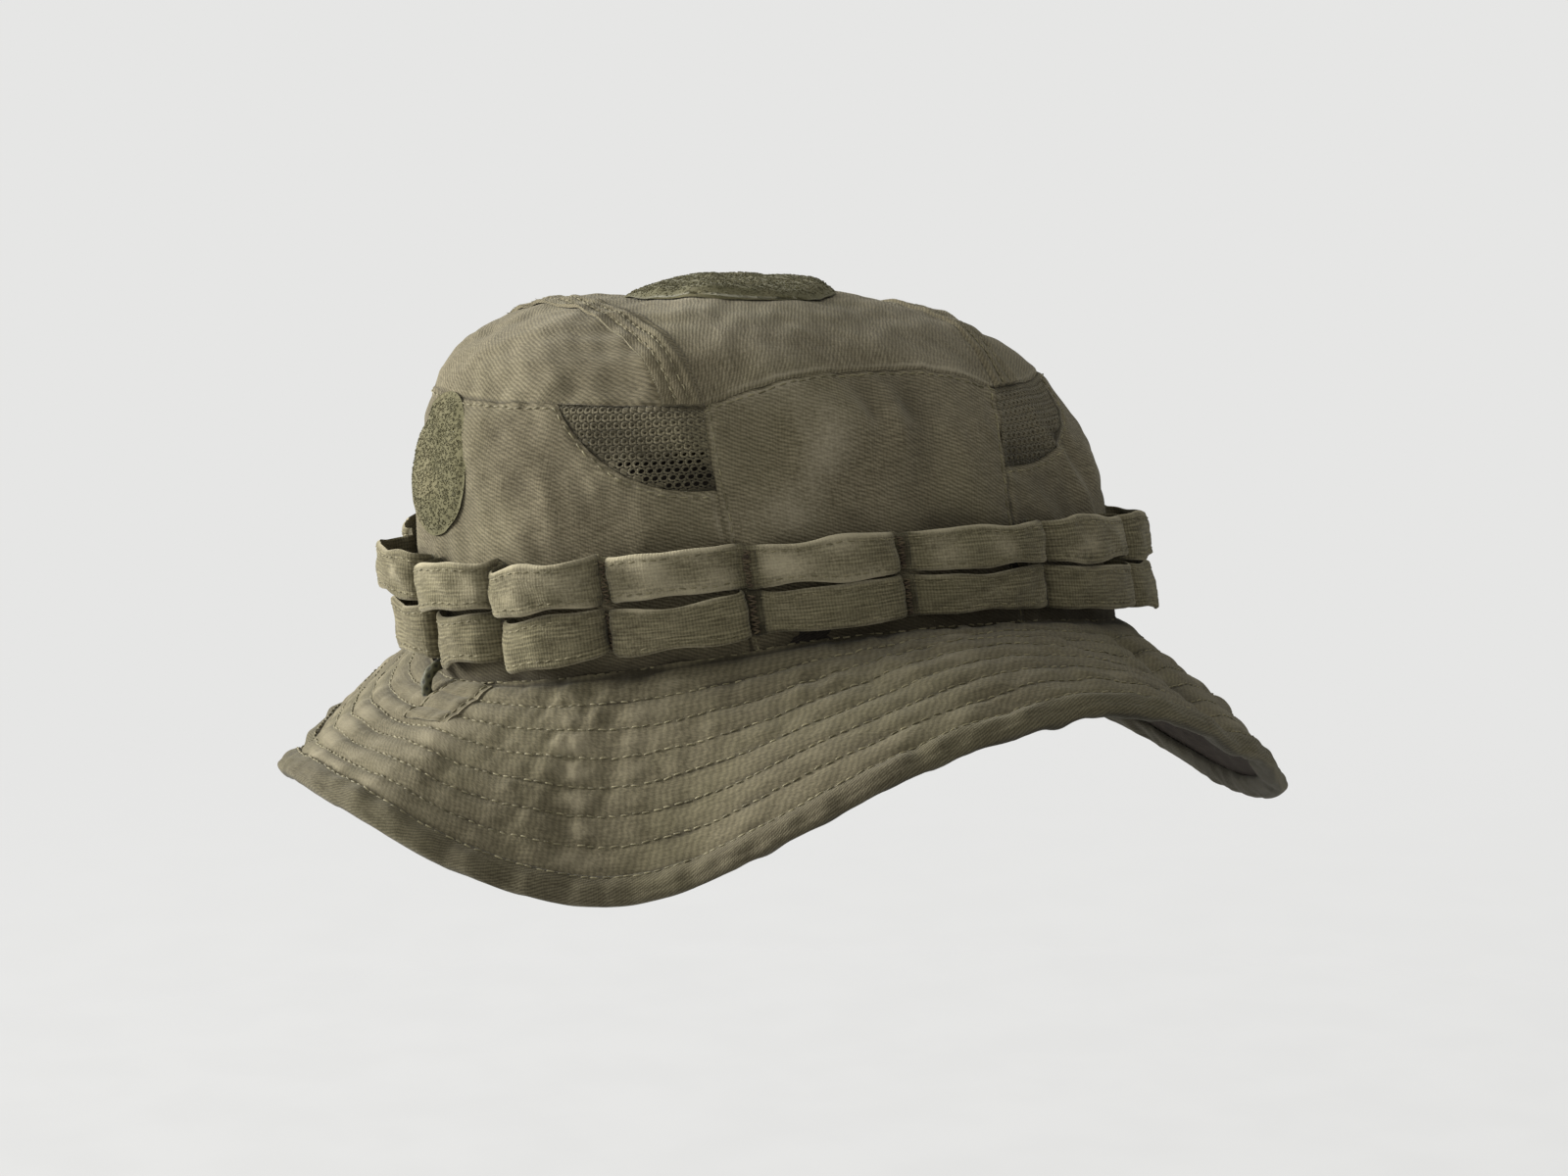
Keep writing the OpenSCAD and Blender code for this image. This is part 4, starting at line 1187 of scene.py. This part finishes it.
def webbing_row(row, node):
    """One row of webbing as a closed strap, with the points and normals of its outer face."""
    t, out, share, loop = loop_path(row)
    steps = len(t)
    rng = np.random.default_rng(80 + row)
    droop = rng.uniform(-0.5, 0.5, LOOPS)[loop] * np.sin(math.pi * share)
    droop = droop - 1.7 * np.isin(loop, SAGGING) * hump(share - 0.25, 0.17)
    flare = rng.uniform(-0.9, 1.5, LOOPS)[loop] * np.sin(math.pi * share)
    w = np.linspace(0, 1, ACROSS)
    parted = (0.45 if row == 1 else -0.35) * np.sin(math.pi * share) ** 2
    tilt = -0.35 * np.cos(math.pi * share)
    z = (row_low(row, t) + droop + parted + tilt)[:, None] + WEB_WIDTH * w[None]
    edge_wave = 0.40 * ripples(wall(t, row_low(row, t), out), 16, 85 + row)
    z = z + edge_wave[:, None] * (2 * w[None] - 1)
    tucked = -0.9 if row == 0 else 0.5
    stand = out[:, None] + flare[:, None] * (w[None] - 0.5) + tucked * np.sin(math.pi * share)[:, None] \
        * (w[None] if row == 0 else 1 - w[None])
    stand = np.maximum(stand, WEB_BASE)
    middle = wall(t[:, None], z, stand)
    ahead = np.roll(middle, -1, axis=0) - np.roll(middle, 1, axis=0)
    ahead[..., 2] = 0
    normal = unit(np.stack([ahead[..., 1], -ahead[..., 0], 0 * ahead[..., 0]], axis=-1))
    radial = middle - INSIDE
    radial[..., 2] = 0
    turned = (normal * unit(radial)).sum(-1).mean()
    normal = normal if turned > 0 else -normal
    rounding = (1 - np.abs(2 * w - 1) ** 14) ** 0.5
    ribs = 0.03 * np.cos(2 * math.pi * w * 9)
    lines = sum(hump(w - x, 0.022) for x in EDGE_LINES)
    crumple = 0.22 * ripples(middle, 9, 87 + row) + 0.08 * ripples(middle, 4, 89 + row)
    face = WEB_THICK * (0.25 + 0.75 * rounding) + ribs - 0.22 * lines + crumple
    back = WEB_THICK * 0.25 * (1 - rounding) + crumple
    outer = middle + normal * face[..., None]
    inner = (middle + normal * back[..., None])[:, ::-1]
    sections = np.concatenate([outer, inner], axis=1)
    along = distances(middle[:, 13])
    along = np.append(along, along[-1] + np.linalg.norm(middle[0, 13] - middle[-1, 13]))
    across = np.concatenate([w, 1.1 + (1 - w), [2.2]]) * WEB_WIDTH
    cloth = np.stack(np.meshgrid(along, across, indexing="ij"), axis=-1)
    edges = hump(w, 0.05) + hump(1 - w, 0.05)
    bent = np.sin(math.pi * share)[:, None]
    ends = hump(share[:, None], 0.10) + hump(1 - share[:, None], 0.10)
    # Painted shade darkens the strap's inner face, which faces the crown, and its ends, which tuck under
    # the bartacks. The edges are lighter where rubbed, the middle of each loop is lighter, the upper row
    # lighter round azimuth 60 and the lower row a little darker.
    field_out = 0.55 * edges[None] * (0.6 + 0.5 * bent) + 0.12 * ripples(middle, 12, 88) \
        - 0.8 * ends + 0.30 * (bent - 0.5) + (0.40 * bump(t, 60, 24)[:, None] if row == 1 else -0.10)
    field_in = np.full((steps, ACROSS), -0.7)
    field = np.concatenate([field_out, field_in], axis=1)
    piece = swept(node + "_strap", sections, WEBBING_MATERIAL, field, cloth)
    hold(piece, "hat", "webbing", node)
    for x in EDGE_LINES:
        column = int(round(x * (ACROSS - 1)))
        line = np.concatenate([outer[:, column], outer[:1, column]])
        ways = np.concatenate([normal[:, column], normal[:1, column]])
        keep = np.append((share > 0.06) & (share < 0.94), False)
        run = stitch_run(line, ways, web_random, pitch=3.0, length=2.1, radius=0.2, lift=0.05)
        nearest = ((run[:, 2, 0][:, None] - line[None]) ** 2).sum(-1).argmin(1)
        web_runs.append(run[keep[nearest]])
    return outer, normal


def bartacks(outer, normal):
    """Dense zigzag stitches that hold the webbing down between two loops."""
    for k in range(LOOPS):
        i = k * LOOP_STEPS
        here = np.arange(1, ACROSS - 1, dtype=float)
        count = 17
        zig = np.linspace(2, ACROSS - 3, count)
        side = np.where(np.arange(count) % 2, 1.0, -1.0)
        middle = np.stack([np.interp(zig, here, outer[i, 1:ACROSS - 1, c]) for c in range(3)], axis=-1)
        up = normal[i, ACROSS // 2]
        ahead = unit(np.cross(np.array([0, 0, 1.0]), up))
        wide = web_random.uniform(0.8, 1.25, count)
        points = middle + ahead * (side * wide)[:, None] + up * 0.15
        ways = np.repeat(up[None], count, axis=0)
        for a in range(count - 1):
            line = np.stack([points[a], points[a + 1]])
            reach = np.linalg.norm(line[1] - line[0])
            run = stitch_run(line, ways[:2], web_random, reach, reach, radius=0.24, lift=0.25)
            tack_runs.append(run[:1])


for row, node in ((0, "webbing_lower"), (1, "webbing_upper")):
    bartacks(*webbing_row(row, node))

# ------------------------------------------------------------------- the brim

ROWS = 8              # stitch rows divide the brim into this many bands, the last is the hem
PLY, CORE_HALF, PLY_GAP = 0.9, 0.4, 0.2
TOP_LIFT = CORE_HALF + PLY_GAP + PLY
HEM, HEM_STEPS = 8.0, 760


def brim_relief(t, s):
    """Quilting between the stitch rows, cross puckers, and the brim's larger folds."""
    reach = brim_reach(t)
    w = s / reach * ROWS
    puff = np.abs(np.sin(math.pi * w)) ** 0.7
    base = brim(t, s)
    strength = 0.75 + 0.28 * ripples(base, 26, 91)
    strength = strength + 0.35 * bump(t, 2, 22) + 0.3 * bump(t, 125, 14) - 0.25 * bump(t, 50, 10)
    relief = strength * (puff - 0.62)
    crumple = 0.35 + 0.9 * bump(t, 37, 7) + 0.9 * bump(t, 79, 8) * hump(s - 14, 12) \
        + 0.35 * bump(t, 100, 16) + 0.2 * np.maximum(ripples(base, 30, 92), 0)
    around = np.stack(np.broadcast_arrays(t * 1.9, s * 0.45, 0.0), axis=-1)
    relief += 0.30 * crumple * ripples(around, 8.5, 93) * (0.35 + puff)
    relief += 0.12 * ripples(base, 4.5, 94) * crumple
    relief += 0.5 * ripples(base, 45, 95) * step(s, 4, 20)
    fade = step(s, 3, 14)
    valley = 129 - 9 * np.clip((s - 7) / 50, 0, 1) ** 1.1
    relief -= 2.6 * np.exp(-0.5 * ((t - valley) / 2.2) ** 2) * fade
    relief += 2.2 * np.exp(-0.5 * ((t - valley - 7) / 4.5) ** 2) * fade
    relief -= 1.0 * bump(t, 40, 3.0) * hump(s - 34, 14)
    relief += 0.8 * bump(t, 33, 4.0) * hump(s - 34, 16)
    relief += 2.2 * bump(t, 147, 8) * step(s, 20, 45)
    return relief, puff, w


def brim_field(t, s, relief, puff, w):
    """The brim's field of rubbing and painted light: lighter on the puffs between the stitch rows, rubbed
    and as painted highlight; painted shade along the rows and at the crown's seam; lighter at the rear
    and darker round azimuth 120.
    """
    field = 0.42 * (puff - 0.72) + 0.16 * ripples(brim(t, s), 22, 96)
    field = field - 0.45 * hump(w % 1.0, 0.05) - 0.45 * hump(1 - w % 1.0, 0.05)
    field = field + np.clip(0.12 * relief, -0.3, 0.3) + 0.30 * bump(t, -2, 24) - 0.15 * bump(t, 120, 30)
    return field - 0.6 * hump(s, 3.5)


brim_runs = []
brim_random = np.random.default_rng(97)
RING_STEPS, REACH_STEPS = 601, 81
RING_T = np.linspace(0, 360, RING_STEPS)[:, None]


TOP_START, PLY_END, CORE_END = -1.3, 3.2, 3.6   # the top ply starts inside the crown's seam


def stitch_row(sheet, band, k):
    """The line on a ring of cloth where its bands number k, with the cloth's normals."""
    j = np.array([np.interp(k, across, np.arange(len(across))) for across in band])
    return sheet.at(np.arange(len(band), dtype=float), j)


def brim_top():
    """The brim's upper ply with its rows of stitches."""
    reach = brim_reach(RING_T)
    s = lerp(TOP_START, reach - PLY_END, np.linspace(0, 1, REACH_STEPS)[None])
    relief, puff, w = brim_relief(RING_T, s)
    sheet = Sheet(brim(RING_T, s, TOP_LIFT), ring=True, facing=(0, 0, 1))
    field = brim_field(RING_T, s, relief, puff, w)
    sheet.raise_by(relief)
    cloth_piece("brim_top_ply", sheet, PLY * 0.9, BRIM_MATERIAL, field)
    for k in range(1, ROWS - 1):
        line, ways = stitch_row(sheet, s / reach * ROWS, k)
        drift = 0.18 * ripples(line, 30, 98 + k)
        side = unit(np.cross(ways, unit(np.gradient(line, axis=0))))
        brim_runs.append(stitch_run(line + side * drift[:, None], ways, brim_random))


def brim_core_and_under():
    """The interlining and the under ply, whose stitches lie below those of the upper ply."""
    reach = brim_reach(RING_T[::3])
    for node, lift, thick, material, slot, ends in (
            ("brim_interlining", CORE_HALF, 0.75, LINING_MATERIAL, "lining", CORE_END),
            ("brim_under_ply", -TOP_LIFT, 0.85, UNDER_MATERIAL, "under_cloth", PLY_END)):
        s = np.linspace(0, 1, 73)[None] * (reach - ends)
        relief, puff = brim_relief(RING_T[::3], s)[:2]
        large = relief - 0.75 * (puff - 0.62)
        lower = large - 0.55 * (puff - 0.62) if node == "brim_under_ply" else large * 0.9
        way = -1 if node == "brim_under_ply" else 1
        sheet = Sheet(brim(RING_T[::3], s, lift), ring=True, facing=(0, 0, way))
        sheet.raise_by(way * lower)
        # The plies are lighter on the puffs and darker along the stitch rows, painted shade in the
        # grooves.
        cloth_piece(node, sheet, thick, material, 0.4 * (puff - 0.7), slot)
    for k in range(1, ROWS - 1):
        run = stitch_run(*stitch_row(sheet, s / reach * ROWS, k), brim_random, radius=0.22)
        under_runs.append(run)


def brim_hem():
    """The binding, rolled over the brim's edge and stitched along its inner edges."""
    t = np.linspace(0, 360, HEM_STEPS + 1)[:-1]
    reach = brim_reach(t)
    at_stitches = brim_relief(t[:, None], (reach - HEM)[:, None])[0]
    inside_hem = brim_relief(t[:, None], (reach * 0.9375)[:, None])[0]
    phi = np.linspace(0, 1, 22)
    upper_s = np.concatenate([[-HEM], -HEM + 0.35 + (HEM - 2.6) * phi])
    upper_l = np.concatenate([[1.75], 2.3 + 0.75 * np.sin(math.pi * phi) ** 0.8])
    arc = np.linspace(90, -90, 13)[1:-1]
    nose_s = -2.25 + 2.35 * np.cos(np.radians(arc))
    nose_l = 2.3 * np.sin(np.radians(arc))
    inner_s = np.array([-HEM, -HEM, -3.0, -3.0, -HEM])
    inner_l = np.array([-1.9, -1.1, -0.8, 0.8, 1.1])
    outline_s = np.concatenate([upper_s, nose_s, upper_s[::-1], inner_s[1:]])
    outline_l = np.concatenate([upper_l, nose_l, -upper_l[::-1], inner_l[1:]])
    skin = np.arange(len(outline_s)) < len(upper_s) * 2 + len(nose_s)
    edge = reach[:, None] + outline_s[None]
    base = brim(t[:, None], edge)
    turns = t[:, None] * 2.25 / 11 + outline_s[None] / 9 + 0.12 * ripples(base, 30, 99)
    mask = 0.5 + 0.5 * np.clip(ripples(base, 28, 100), -1, 1)
    swell = 0.22 * ripples(base, 12, 101) + 0.22 * np.sin(2 * math.pi * turns) * mask
    sign = np.sign(outline_l)[None]
    flip = 1.6 * bump(t, -9, 9)[:, None] * step(outline_s, -8, 0)[None]
    wave = lerp(at_stitches, inside_hem * 0.9, step(outline_s, -8, -4)[None]) * 0.95
    lift = outline_l[None] + wave + flip
    lift = lift + np.where(skin[None], swell * sign * step(np.abs(outline_l), 0, 1)[None], 0)
    sections = brim(t[:, None], edge, lift)
    # Painted shade: the binding's lower half and its inner edge at the brim are drawn darker; the roll's
    # swellings are lighter on their crests and darker in their dips.
    field = -0.05 - 1.1 * step(-outline_l[None], -1.6, 1.2) - 0.7 * hump(outline_s[None] + HEM, 0.6)
    field = field + 0.12 * ripples(base, 18, 102) + 0.3 * swell
    piece = swept("brim_binding_cloth", sections, HEM_MATERIAL, np.broadcast_to(field, lift.shape))
    hold(piece, "hat", "cloth", "brim_binding")
    column = 2
    line = np.concatenate([sections[:, column], sections[:1, column]])
    facing = unit(brim(t, reach + outline_s[column], 3.0) - brim(t, reach + outline_s[column], 1.0))
    ways = np.concatenate([facing, facing[:1]])
    brim_runs.append(stitch_run(line, ways, brim_random, pitch=3.0))


under_runs = []
brim_top()
brim_core_and_under()
brim_hem()


def brim_tab():
    """A small tab of cloth sewn on the brim at the rear, beside the cord."""
    u, v = unit_grid(48, 60)
    s = lerp(1.2, 18.5, v) + 0 * u
    t = lerp(6.2, 17.8, u) - 1.6 * v
    sheet = Sheet(brim(t, s, TOP_LIFT), facing=(0, 0, 1))
    relief = brim_relief(t, s)[0] * 0.7 + 1.15
    relief -= 0.35 * sum(sheet.near(border, 0.7) for border in ("left", "right", "high"))
    relief = relief + 0.15 * ripples(sheet.points, 7, 111)
    stitched = 0.25 * (hump(sheet.to["left"] - 1.6, 0.5)
                       + hump(sheet.to["right"] - 1.6, 0.5))
    sheet.raise_by(relief - stitched)
    # The tab is lighter overall and along its stitched sides, and darker at its foot by the crown,
    # painted shade.
    field = 0.25 + 0.4 * (sheet.near("left", 1.4) + sheet.near("right", 1.4)) - 0.3 * sheet.near("low", 3)
    cloth_piece("brim_tab", sheet, 0.8, BRIM_MATERIAL, field)
    for border in ("left", "right"):
        brim_runs.append(stitch_run(*sheet.line(border, 1.6), brim_random, pitch=2.8))


brim_tab()

# ------------------------------------------------- sweatband, cord and buttonhole

BAND_TOP, BAND_FACE = 33.0, -2.62


def sweatband():
    """The inner band: a flat strip whose hem turns up round the cord's channel."""
    outline = np.array([
        (-1.6, BAND_TOP), (-1.6, 25), (-1.6, 16), (-1.6, 8), (-1.6, 2), (-1.6, -2.6), (-2.4, -3.4),
        (-4.3, -3.6), (-6.2, -3.4), (-7.2, -2.4), (-7.5, 0), (-7.5, 2.4), (-7.2, 4.5), (-5.6, 6.6),
        (-4.0, 8.6), (-3.0, 8.6), (-4.7, 6.4), (-6.3, 4.2), (-6.5, 1), (-6.3, -2.0), (-5.8, -2.5),
        (-3.0, -2.5), (-2.6, -2.1), (-2.6, 3), (-2.6, 10), (-2.6, 18), (-2.6, 26), (-2.6, BAND_TOP)])
    t = np.linspace(0, 360, 481)[:-1]
    out, z = outline[:, 0][None], outline[:, 1][None]
    base = wall(t[:, None], z, out)
    gather = 0.22 * np.sin(t * 1.8 * 2 * math.pi / 6.5)[:, None] * hump(z - 1, 6)
    uneven = np.abs(0.18 * ripples(base, 14, 121)) * (out < -2.5)
    sections = wall(t[:, None], z, out - uneven - gather * (out < -6))
    # Painted shade along the top of the turned-up hem, where it folds.
    field = 0.2 * ripples(base, 16, 122) - 0.3 * hump(z - 8.6, 1.0)
    piece = swept("sweatband_lining", sections, LINING_MATERIAL, field)
    hold(piece, "hat", "lining", "sweatband")
    around = np.linspace(0, 360, 721)
    for height in (BAND_TOP - 2.5, 10.5):
        ways = -unit(wall(around, height, 1.0) - wall(around, height, 0.0))
        line = wall(around, height, BAND_FACE)
        under_runs.append(stitch_run(line, ways, brim_random, radius=0.2))


def smooth_route(points, spacing):
    """A smooth line through the route's points, in even steps (Catmull-Rom)."""
    p = np.asarray(points, float)
    padded = np.concatenate([[2 * p[0] - p[1]], p, [2 * p[-1] - p[-2]]])
    f = np.linspace(0, 1, 12, endpoint=False)[:, None]
    parts = []
    for k in range(len(p) - 1):
        a, b, c, d = padded[k:k + 4]
        parts.append(0.5 * (2 * b + (c - a) * f + (2 * a - 5 * b + 4 * c - d) * f**2
                            + (3 * b - a - 3 * c + d) * f**3))
    line = np.concatenate([*parts, p[-1:]])
    along = distances(line)
    return follow(line, along, np.linspace(0, along[-1], max(3, int(along[-1] / spacing))))


def braid(name, line, radius, sides=20, weave=0.1, material=CORD_MATERIAL):
    """A braided cord: a tube whose strands pass over and under each other, by a share of its radius."""
    ahead = unit(np.gradient(line, axis=0))
    side = np.zeros_like(line)
    side[0] = unit(np.cross(ahead[0], [0.3, 0.5, 0.8]))
    for k in range(1, len(line)):
        side[k] = unit(side[k - 1] - ahead[k] * (side[k - 1] * ahead[k]).sum())
    third = np.cross(ahead, side)
    along = distances(line)[:, None]
    angle = (np.arange(sides) * 2 * math.pi / sides)[None]
    strand = np.maximum(np.sin(4 * angle + along * 1.9), np.sin(4 * angle - along * 1.9))
    girth = radius * (1 - weave + weave * strand)[..., None]
    rings = tube_rings(line, side, third, girth, sides)
    n = len(line)
    walls = grid_faces(n - 1, sides, tube=True)[0]
    points = np.concatenate([rings.reshape(-1, 3), line[:1], line[-1:]])
    first, last = n * sides, n * sides + 1
    j = np.arange(sides)
    caps = np.concatenate([np.stack([(j + 1) % sides, j, np.full(sides, first)], axis=1),
                           np.stack([j, (j + 1) % sides, np.full(sides, last)], axis=1)
                           + np.array([(n - 1) * sides, (n - 1) * sides, 0])])
    field = np.concatenate([(0.5 + 0.5 * strand).ravel(), [0.5, 0.5]])
    return add_mesh(name, points, [walls, caps], material, fields={"strand": field})


CORD_D = 3.2
HOOP_STEPS = 60
TURN_ROUTE = [(-9, -97.1, -7.6), (-6, -97.3, -6.2), (-3.4, -98, -4.4), (-0.8, -99.8, -3.2),
              (1.2, -102, -2.8)]
TAIL_ROUTE = [
    (1.2, -102, -2.8), (2.6, -104, -2.5), (3.6, -106, -2.7), (4.4, -107.8, -3.4), (5, -109.3, -4.6),
    (5.4, -110.3, -6.2), (5.6, -110.7, -8), (5.8, -110.5, -10), (6, -110, -12), (6, -109.2, -13.8),
    (6, -108.4, -15.6), (6, -107.8, -17.4), (6, -107.6, -19.4), (6, -107.6, -26), (6, -107.6, -32),
    (6, -107.6, -38), (6, -107.6, -44), (6, -107.6, -45),
]


def hidden_cord():
    """The cord inside the sweatband's channel, from its sewn end to the buttonhole."""
    hoop = wall(360 / HOOP_STEPS * np.arange(2, HOOP_STEPS - 1), 0.2, -4.45)
    line = smooth_route([*hoop.tolist(), *TURN_ROUTE], 0.8)
    hold(braid("drawcord_braid", line, CORD_D / 2, 12), "hat", "cord", "drawcord")


def knot():
    """An overhand knot below the cord lock, with a heat-sealed stub."""
    a = np.linspace(0, 2 * math.pi, 90)[4:-4]
    size = 1.55
    x, y, z = np.sin(a) + 2 * np.sin(2 * a), np.cos(a) - 2 * np.cos(2 * a), -1.3 * np.sin(3 * a)
    loop = np.stack([x * size * 0.62, z * size * 0.8, y * size * 0.62], axis=-1)
    start = np.array(TAIL_ROUTE[-1], float)
    route = [start, *(start + [0, 0, -3.6] + loop[::6]), start + [0.3, 0, -9.4]]
    line = smooth_route(route, 0.35)
    piece = braid("tail_knot_braid", line, CORD_D / 2 * 0.96, 16)
    return hold(piece, "hat", "cord", "tail_knot")


SPRING_WIRE, SPRING_TURNS, BARREL_FLOOR, PLUNGER_TRAVEL = 0.35, 3.5, -3.4, 3.0


def lock_spring():
    """The lock's steel spring, a coil of wire in the CAD spring's box; the real one shortens towards the
    barrel's floor as the plunger goes in, but this one stays still.
    """
    low, high = (np.array(corner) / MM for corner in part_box("cord_lock_spring"))
    middle = (low + high) / 2
    f = np.linspace(0, 1, 169)
    angle = 2 * math.pi * SPRING_TURNS * f
    coil = (high[2] - low[2]) / 2 - SPRING_WIRE
    line = np.stack([lerp(low[0] + SPRING_WIRE, high[0] - SPRING_WIRE, f),
                     middle[1] + coil * np.cos(angle), middle[2] + coil * np.sin(angle)], axis=-1)
    piece = braid("cord_lock_spring_wire", line, SPRING_WIRE, 12, 0.0, STEEL_MATERIAL)
    hold(piece, "cord_lock", "spring_steel", "cord_lock_spring")
    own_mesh(piece)
    return piece


sweatband()
hidden_cord()
tail_knot = knot()
tail_line = smooth_route(TAIL_ROUTE, 0.3)
tail = braid("drawcord_tail_braid", tail_line, CORD_D / 2, 20)
hold(tail, "hat", "cord", "drawcord_tail")
lock_parts = [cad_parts["cord_lock_body"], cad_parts["cord_lock_plunger"], lock_spring()]

SLOT = dict(x=1.0, y=-102.6, z=-3.0, length=13.0, height=4.2)


def buttonhole():
    """Close stitches laid across the edge of the cord's slot."""
    rng = np.random.default_rng(131)
    half_x, half_z = SLOT["length"] / 2 + 0.1, SLOT["height"] / 2 + 0.1
    around = []
    for x in np.arange(-half_x, half_x, 0.42):
        around += [((x, half_z), (0, 1)), ((x, -half_z), (0, -1))]
    for z in np.arange(-half_z, half_z, 0.42):
        around += [((half_x, z), (1, 0)), ((-half_x, z), (-1, 0))]
    runs = []
    for (x, z), (dx, dz) in around:
        reach = rng.uniform(0.7, 0.95)
        start = np.array([SLOT["x"] + x, SLOT["y"] + 0.3, SLOT["z"] + z])
        end = start + np.array([dx * reach, 0.1, dz * reach])
        line = np.stack([start, end])
        ways = np.repeat([[0.0, -1.0, 0.0]], 2, axis=0)
        length = np.linalg.norm(end - start)
        runs.append(stitch_run(line, ways, rng, pitch=length, length=length, radius=0.23, lift=0.3)[:1])
    piece = stitches("cord_buttonhole_stitches", runs, THREAD_MATERIAL)
    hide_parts("cord_buttonhole")


buttonhole()

# ------------------------------------------------------------- sewing threads

stitches("crown_seam_stitches", seam_runs, THREAD_MATERIAL)
stitches("tape_stitches", tape_runs, THREAD_MATERIAL)
stitches("brim_stitches", brim_runs, THREAD_MATERIAL)
stitches("lining_stitches", under_runs, DARK_THREAD_MATERIAL)
stitches("webbing_stitches", web_runs, THREAD_MATERIAL)
tacks = stitches("webbing_bartack_stitches", tack_runs, DARK_THREAD_MATERIAL)
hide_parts("webbing_bartacks")

for node in ("cord_lock_body", "cord_lock_plunger"):
    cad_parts[node].data.materials.clear()
    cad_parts[node].data.materials.append(LOCK_MATERIAL)

# ------------------------------------------------------------- floor and light

FLOOR_Z, FLOOR_HALF = -0.32, 4.0
FLOOR_FADE = (350.0, 1500.0)     # millimetres from its middle where it is solid and where it is gone
BACKDROP = rgb(230, 230, 229)


def add_floor():
    """A wide pale floor that fades into the backdrop far from the hat."""
    shader = Shader("pale_floor")
    spot = shader.place()
    distance = shader.nodes.new("ShaderNodeVectorMath")
    distance.operation = "LENGTH"
    shader.feed(distance.inputs[0], spot)
    speckle = shader.noise(spot, 0.02, 2.0)
    colour = shader.mix(shader.ramp(speckle, 0.3, 0.7, 0, 1), rgb(118, 118, 117), rgb(122, 122, 121))
    shader.surface(colour, 0.9, 0.0)
    shader.bsdf.inputs["Emission Color"].default_value = (1.0, 1.0, 0.99, 1.0)
    shader.bsdf.inputs["Emission Strength"].default_value = 0.54
    shown = shader.ramp(distance.outputs["Value"], *FLOOR_FADE, 1.0, 0.0)
    shader.feed(shader.bsdf.inputs["Alpha"], shown)
    mesh = bpy.data.meshes.new("floor")
    corners = [(x * FLOOR_HALF, y * FLOOR_HALF, 0) for x, y in ((-1, -1), (1, -1), (1, 1), (-1, 1))]
    mesh.from_pydata(corners, [], [(0, 1, 2, 3)])
    mesh.materials.append(shader.material)
    floor = bpy.data.objects.new("floor", mesh)
    floor.location = (0, 0, FLOOR_Z)
    bpy.context.scene.collection.objects.link(floor)


def add_light(name, direction, distance, size, power, colour=(1, 1, 1)):
    data = bpy.data.lights.new(name, "AREA")
    data.shape, data.size, data.energy, data.color = "DISK", size, power, colour
    light = bpy.data.objects.new(name, data)
    way = Vector(direction).normalized()
    light.location = PIVOT + way * distance
    light.rotation_mode = "QUATERNION"
    light.rotation_quaternion = way.to_track_quat("Z", "Y")
    bpy.context.scene.collection.objects.link(light)


add_floor()
add_light("key", (-0.62, -0.76, 0.24), 6.0, 3.2, 860.0, (1.0, 0.99, 0.97))


def add_backdrop():
    """A plain pale dome, seen but giving no light."""
    bpy.ops.mesh.primitive_uv_sphere_add(segments=48, ring_count=24, radius=14.0, location=(0, 0, 0))
    dome = bpy.context.object
    dome.name = "backdrop"
    material = bpy.data.materials.new("backdrop")
    material.use_nodes = True
    nodes, links = material.node_tree.nodes, material.node_tree.links
    glow = nodes.new("ShaderNodeEmission")
    glow.inputs["Color"].default_value = BACKDROP
    links.new(glow.outputs[0], nodes["Material Output"].inputs["Surface"])
    dome.data.materials.append(material)
    for kind in ("diffuse", "glossy", "transmission", "volume_scatter", "shadow"):
        setattr(dome, "visible_" + kind, False)


# The soft light from all round: its mean, and how it grows along X, Y and Z
AMBIENT, AMBIENT_SLOPE = 0.39, (0.12, -0.30, 0.40)


def add_world():
    world = bpy.data.worlds.new("studio")
    world.use_nodes = True
    nodes, links = world.node_tree.nodes, world.node_tree.links
    way = nodes.new("ShaderNodeTexCoord")
    slope = nodes.new("ShaderNodeVectorMath")
    slope.operation = "DOT_PRODUCT"
    links.new(way.outputs["Generated"], slope.inputs[0])
    slope.inputs[1].default_value = AMBIENT_SLOPE
    total = nodes.new("ShaderNodeMath")
    total.operation, total.use_clamp = "ADD", True
    links.new(slope.outputs["Value"], total.inputs[0])
    total.inputs[1].default_value = AMBIENT
    links.new(total.outputs[0], nodes["Background"].inputs["Strength"])
    nodes["Background"].inputs["Color"].default_value = (1.0, 1.0, 1.0, 1.0)
    bpy.context.scene.world = world


add_backdrop()
add_world()
bpy.context.scene.view_settings.view_transform = "Standard"
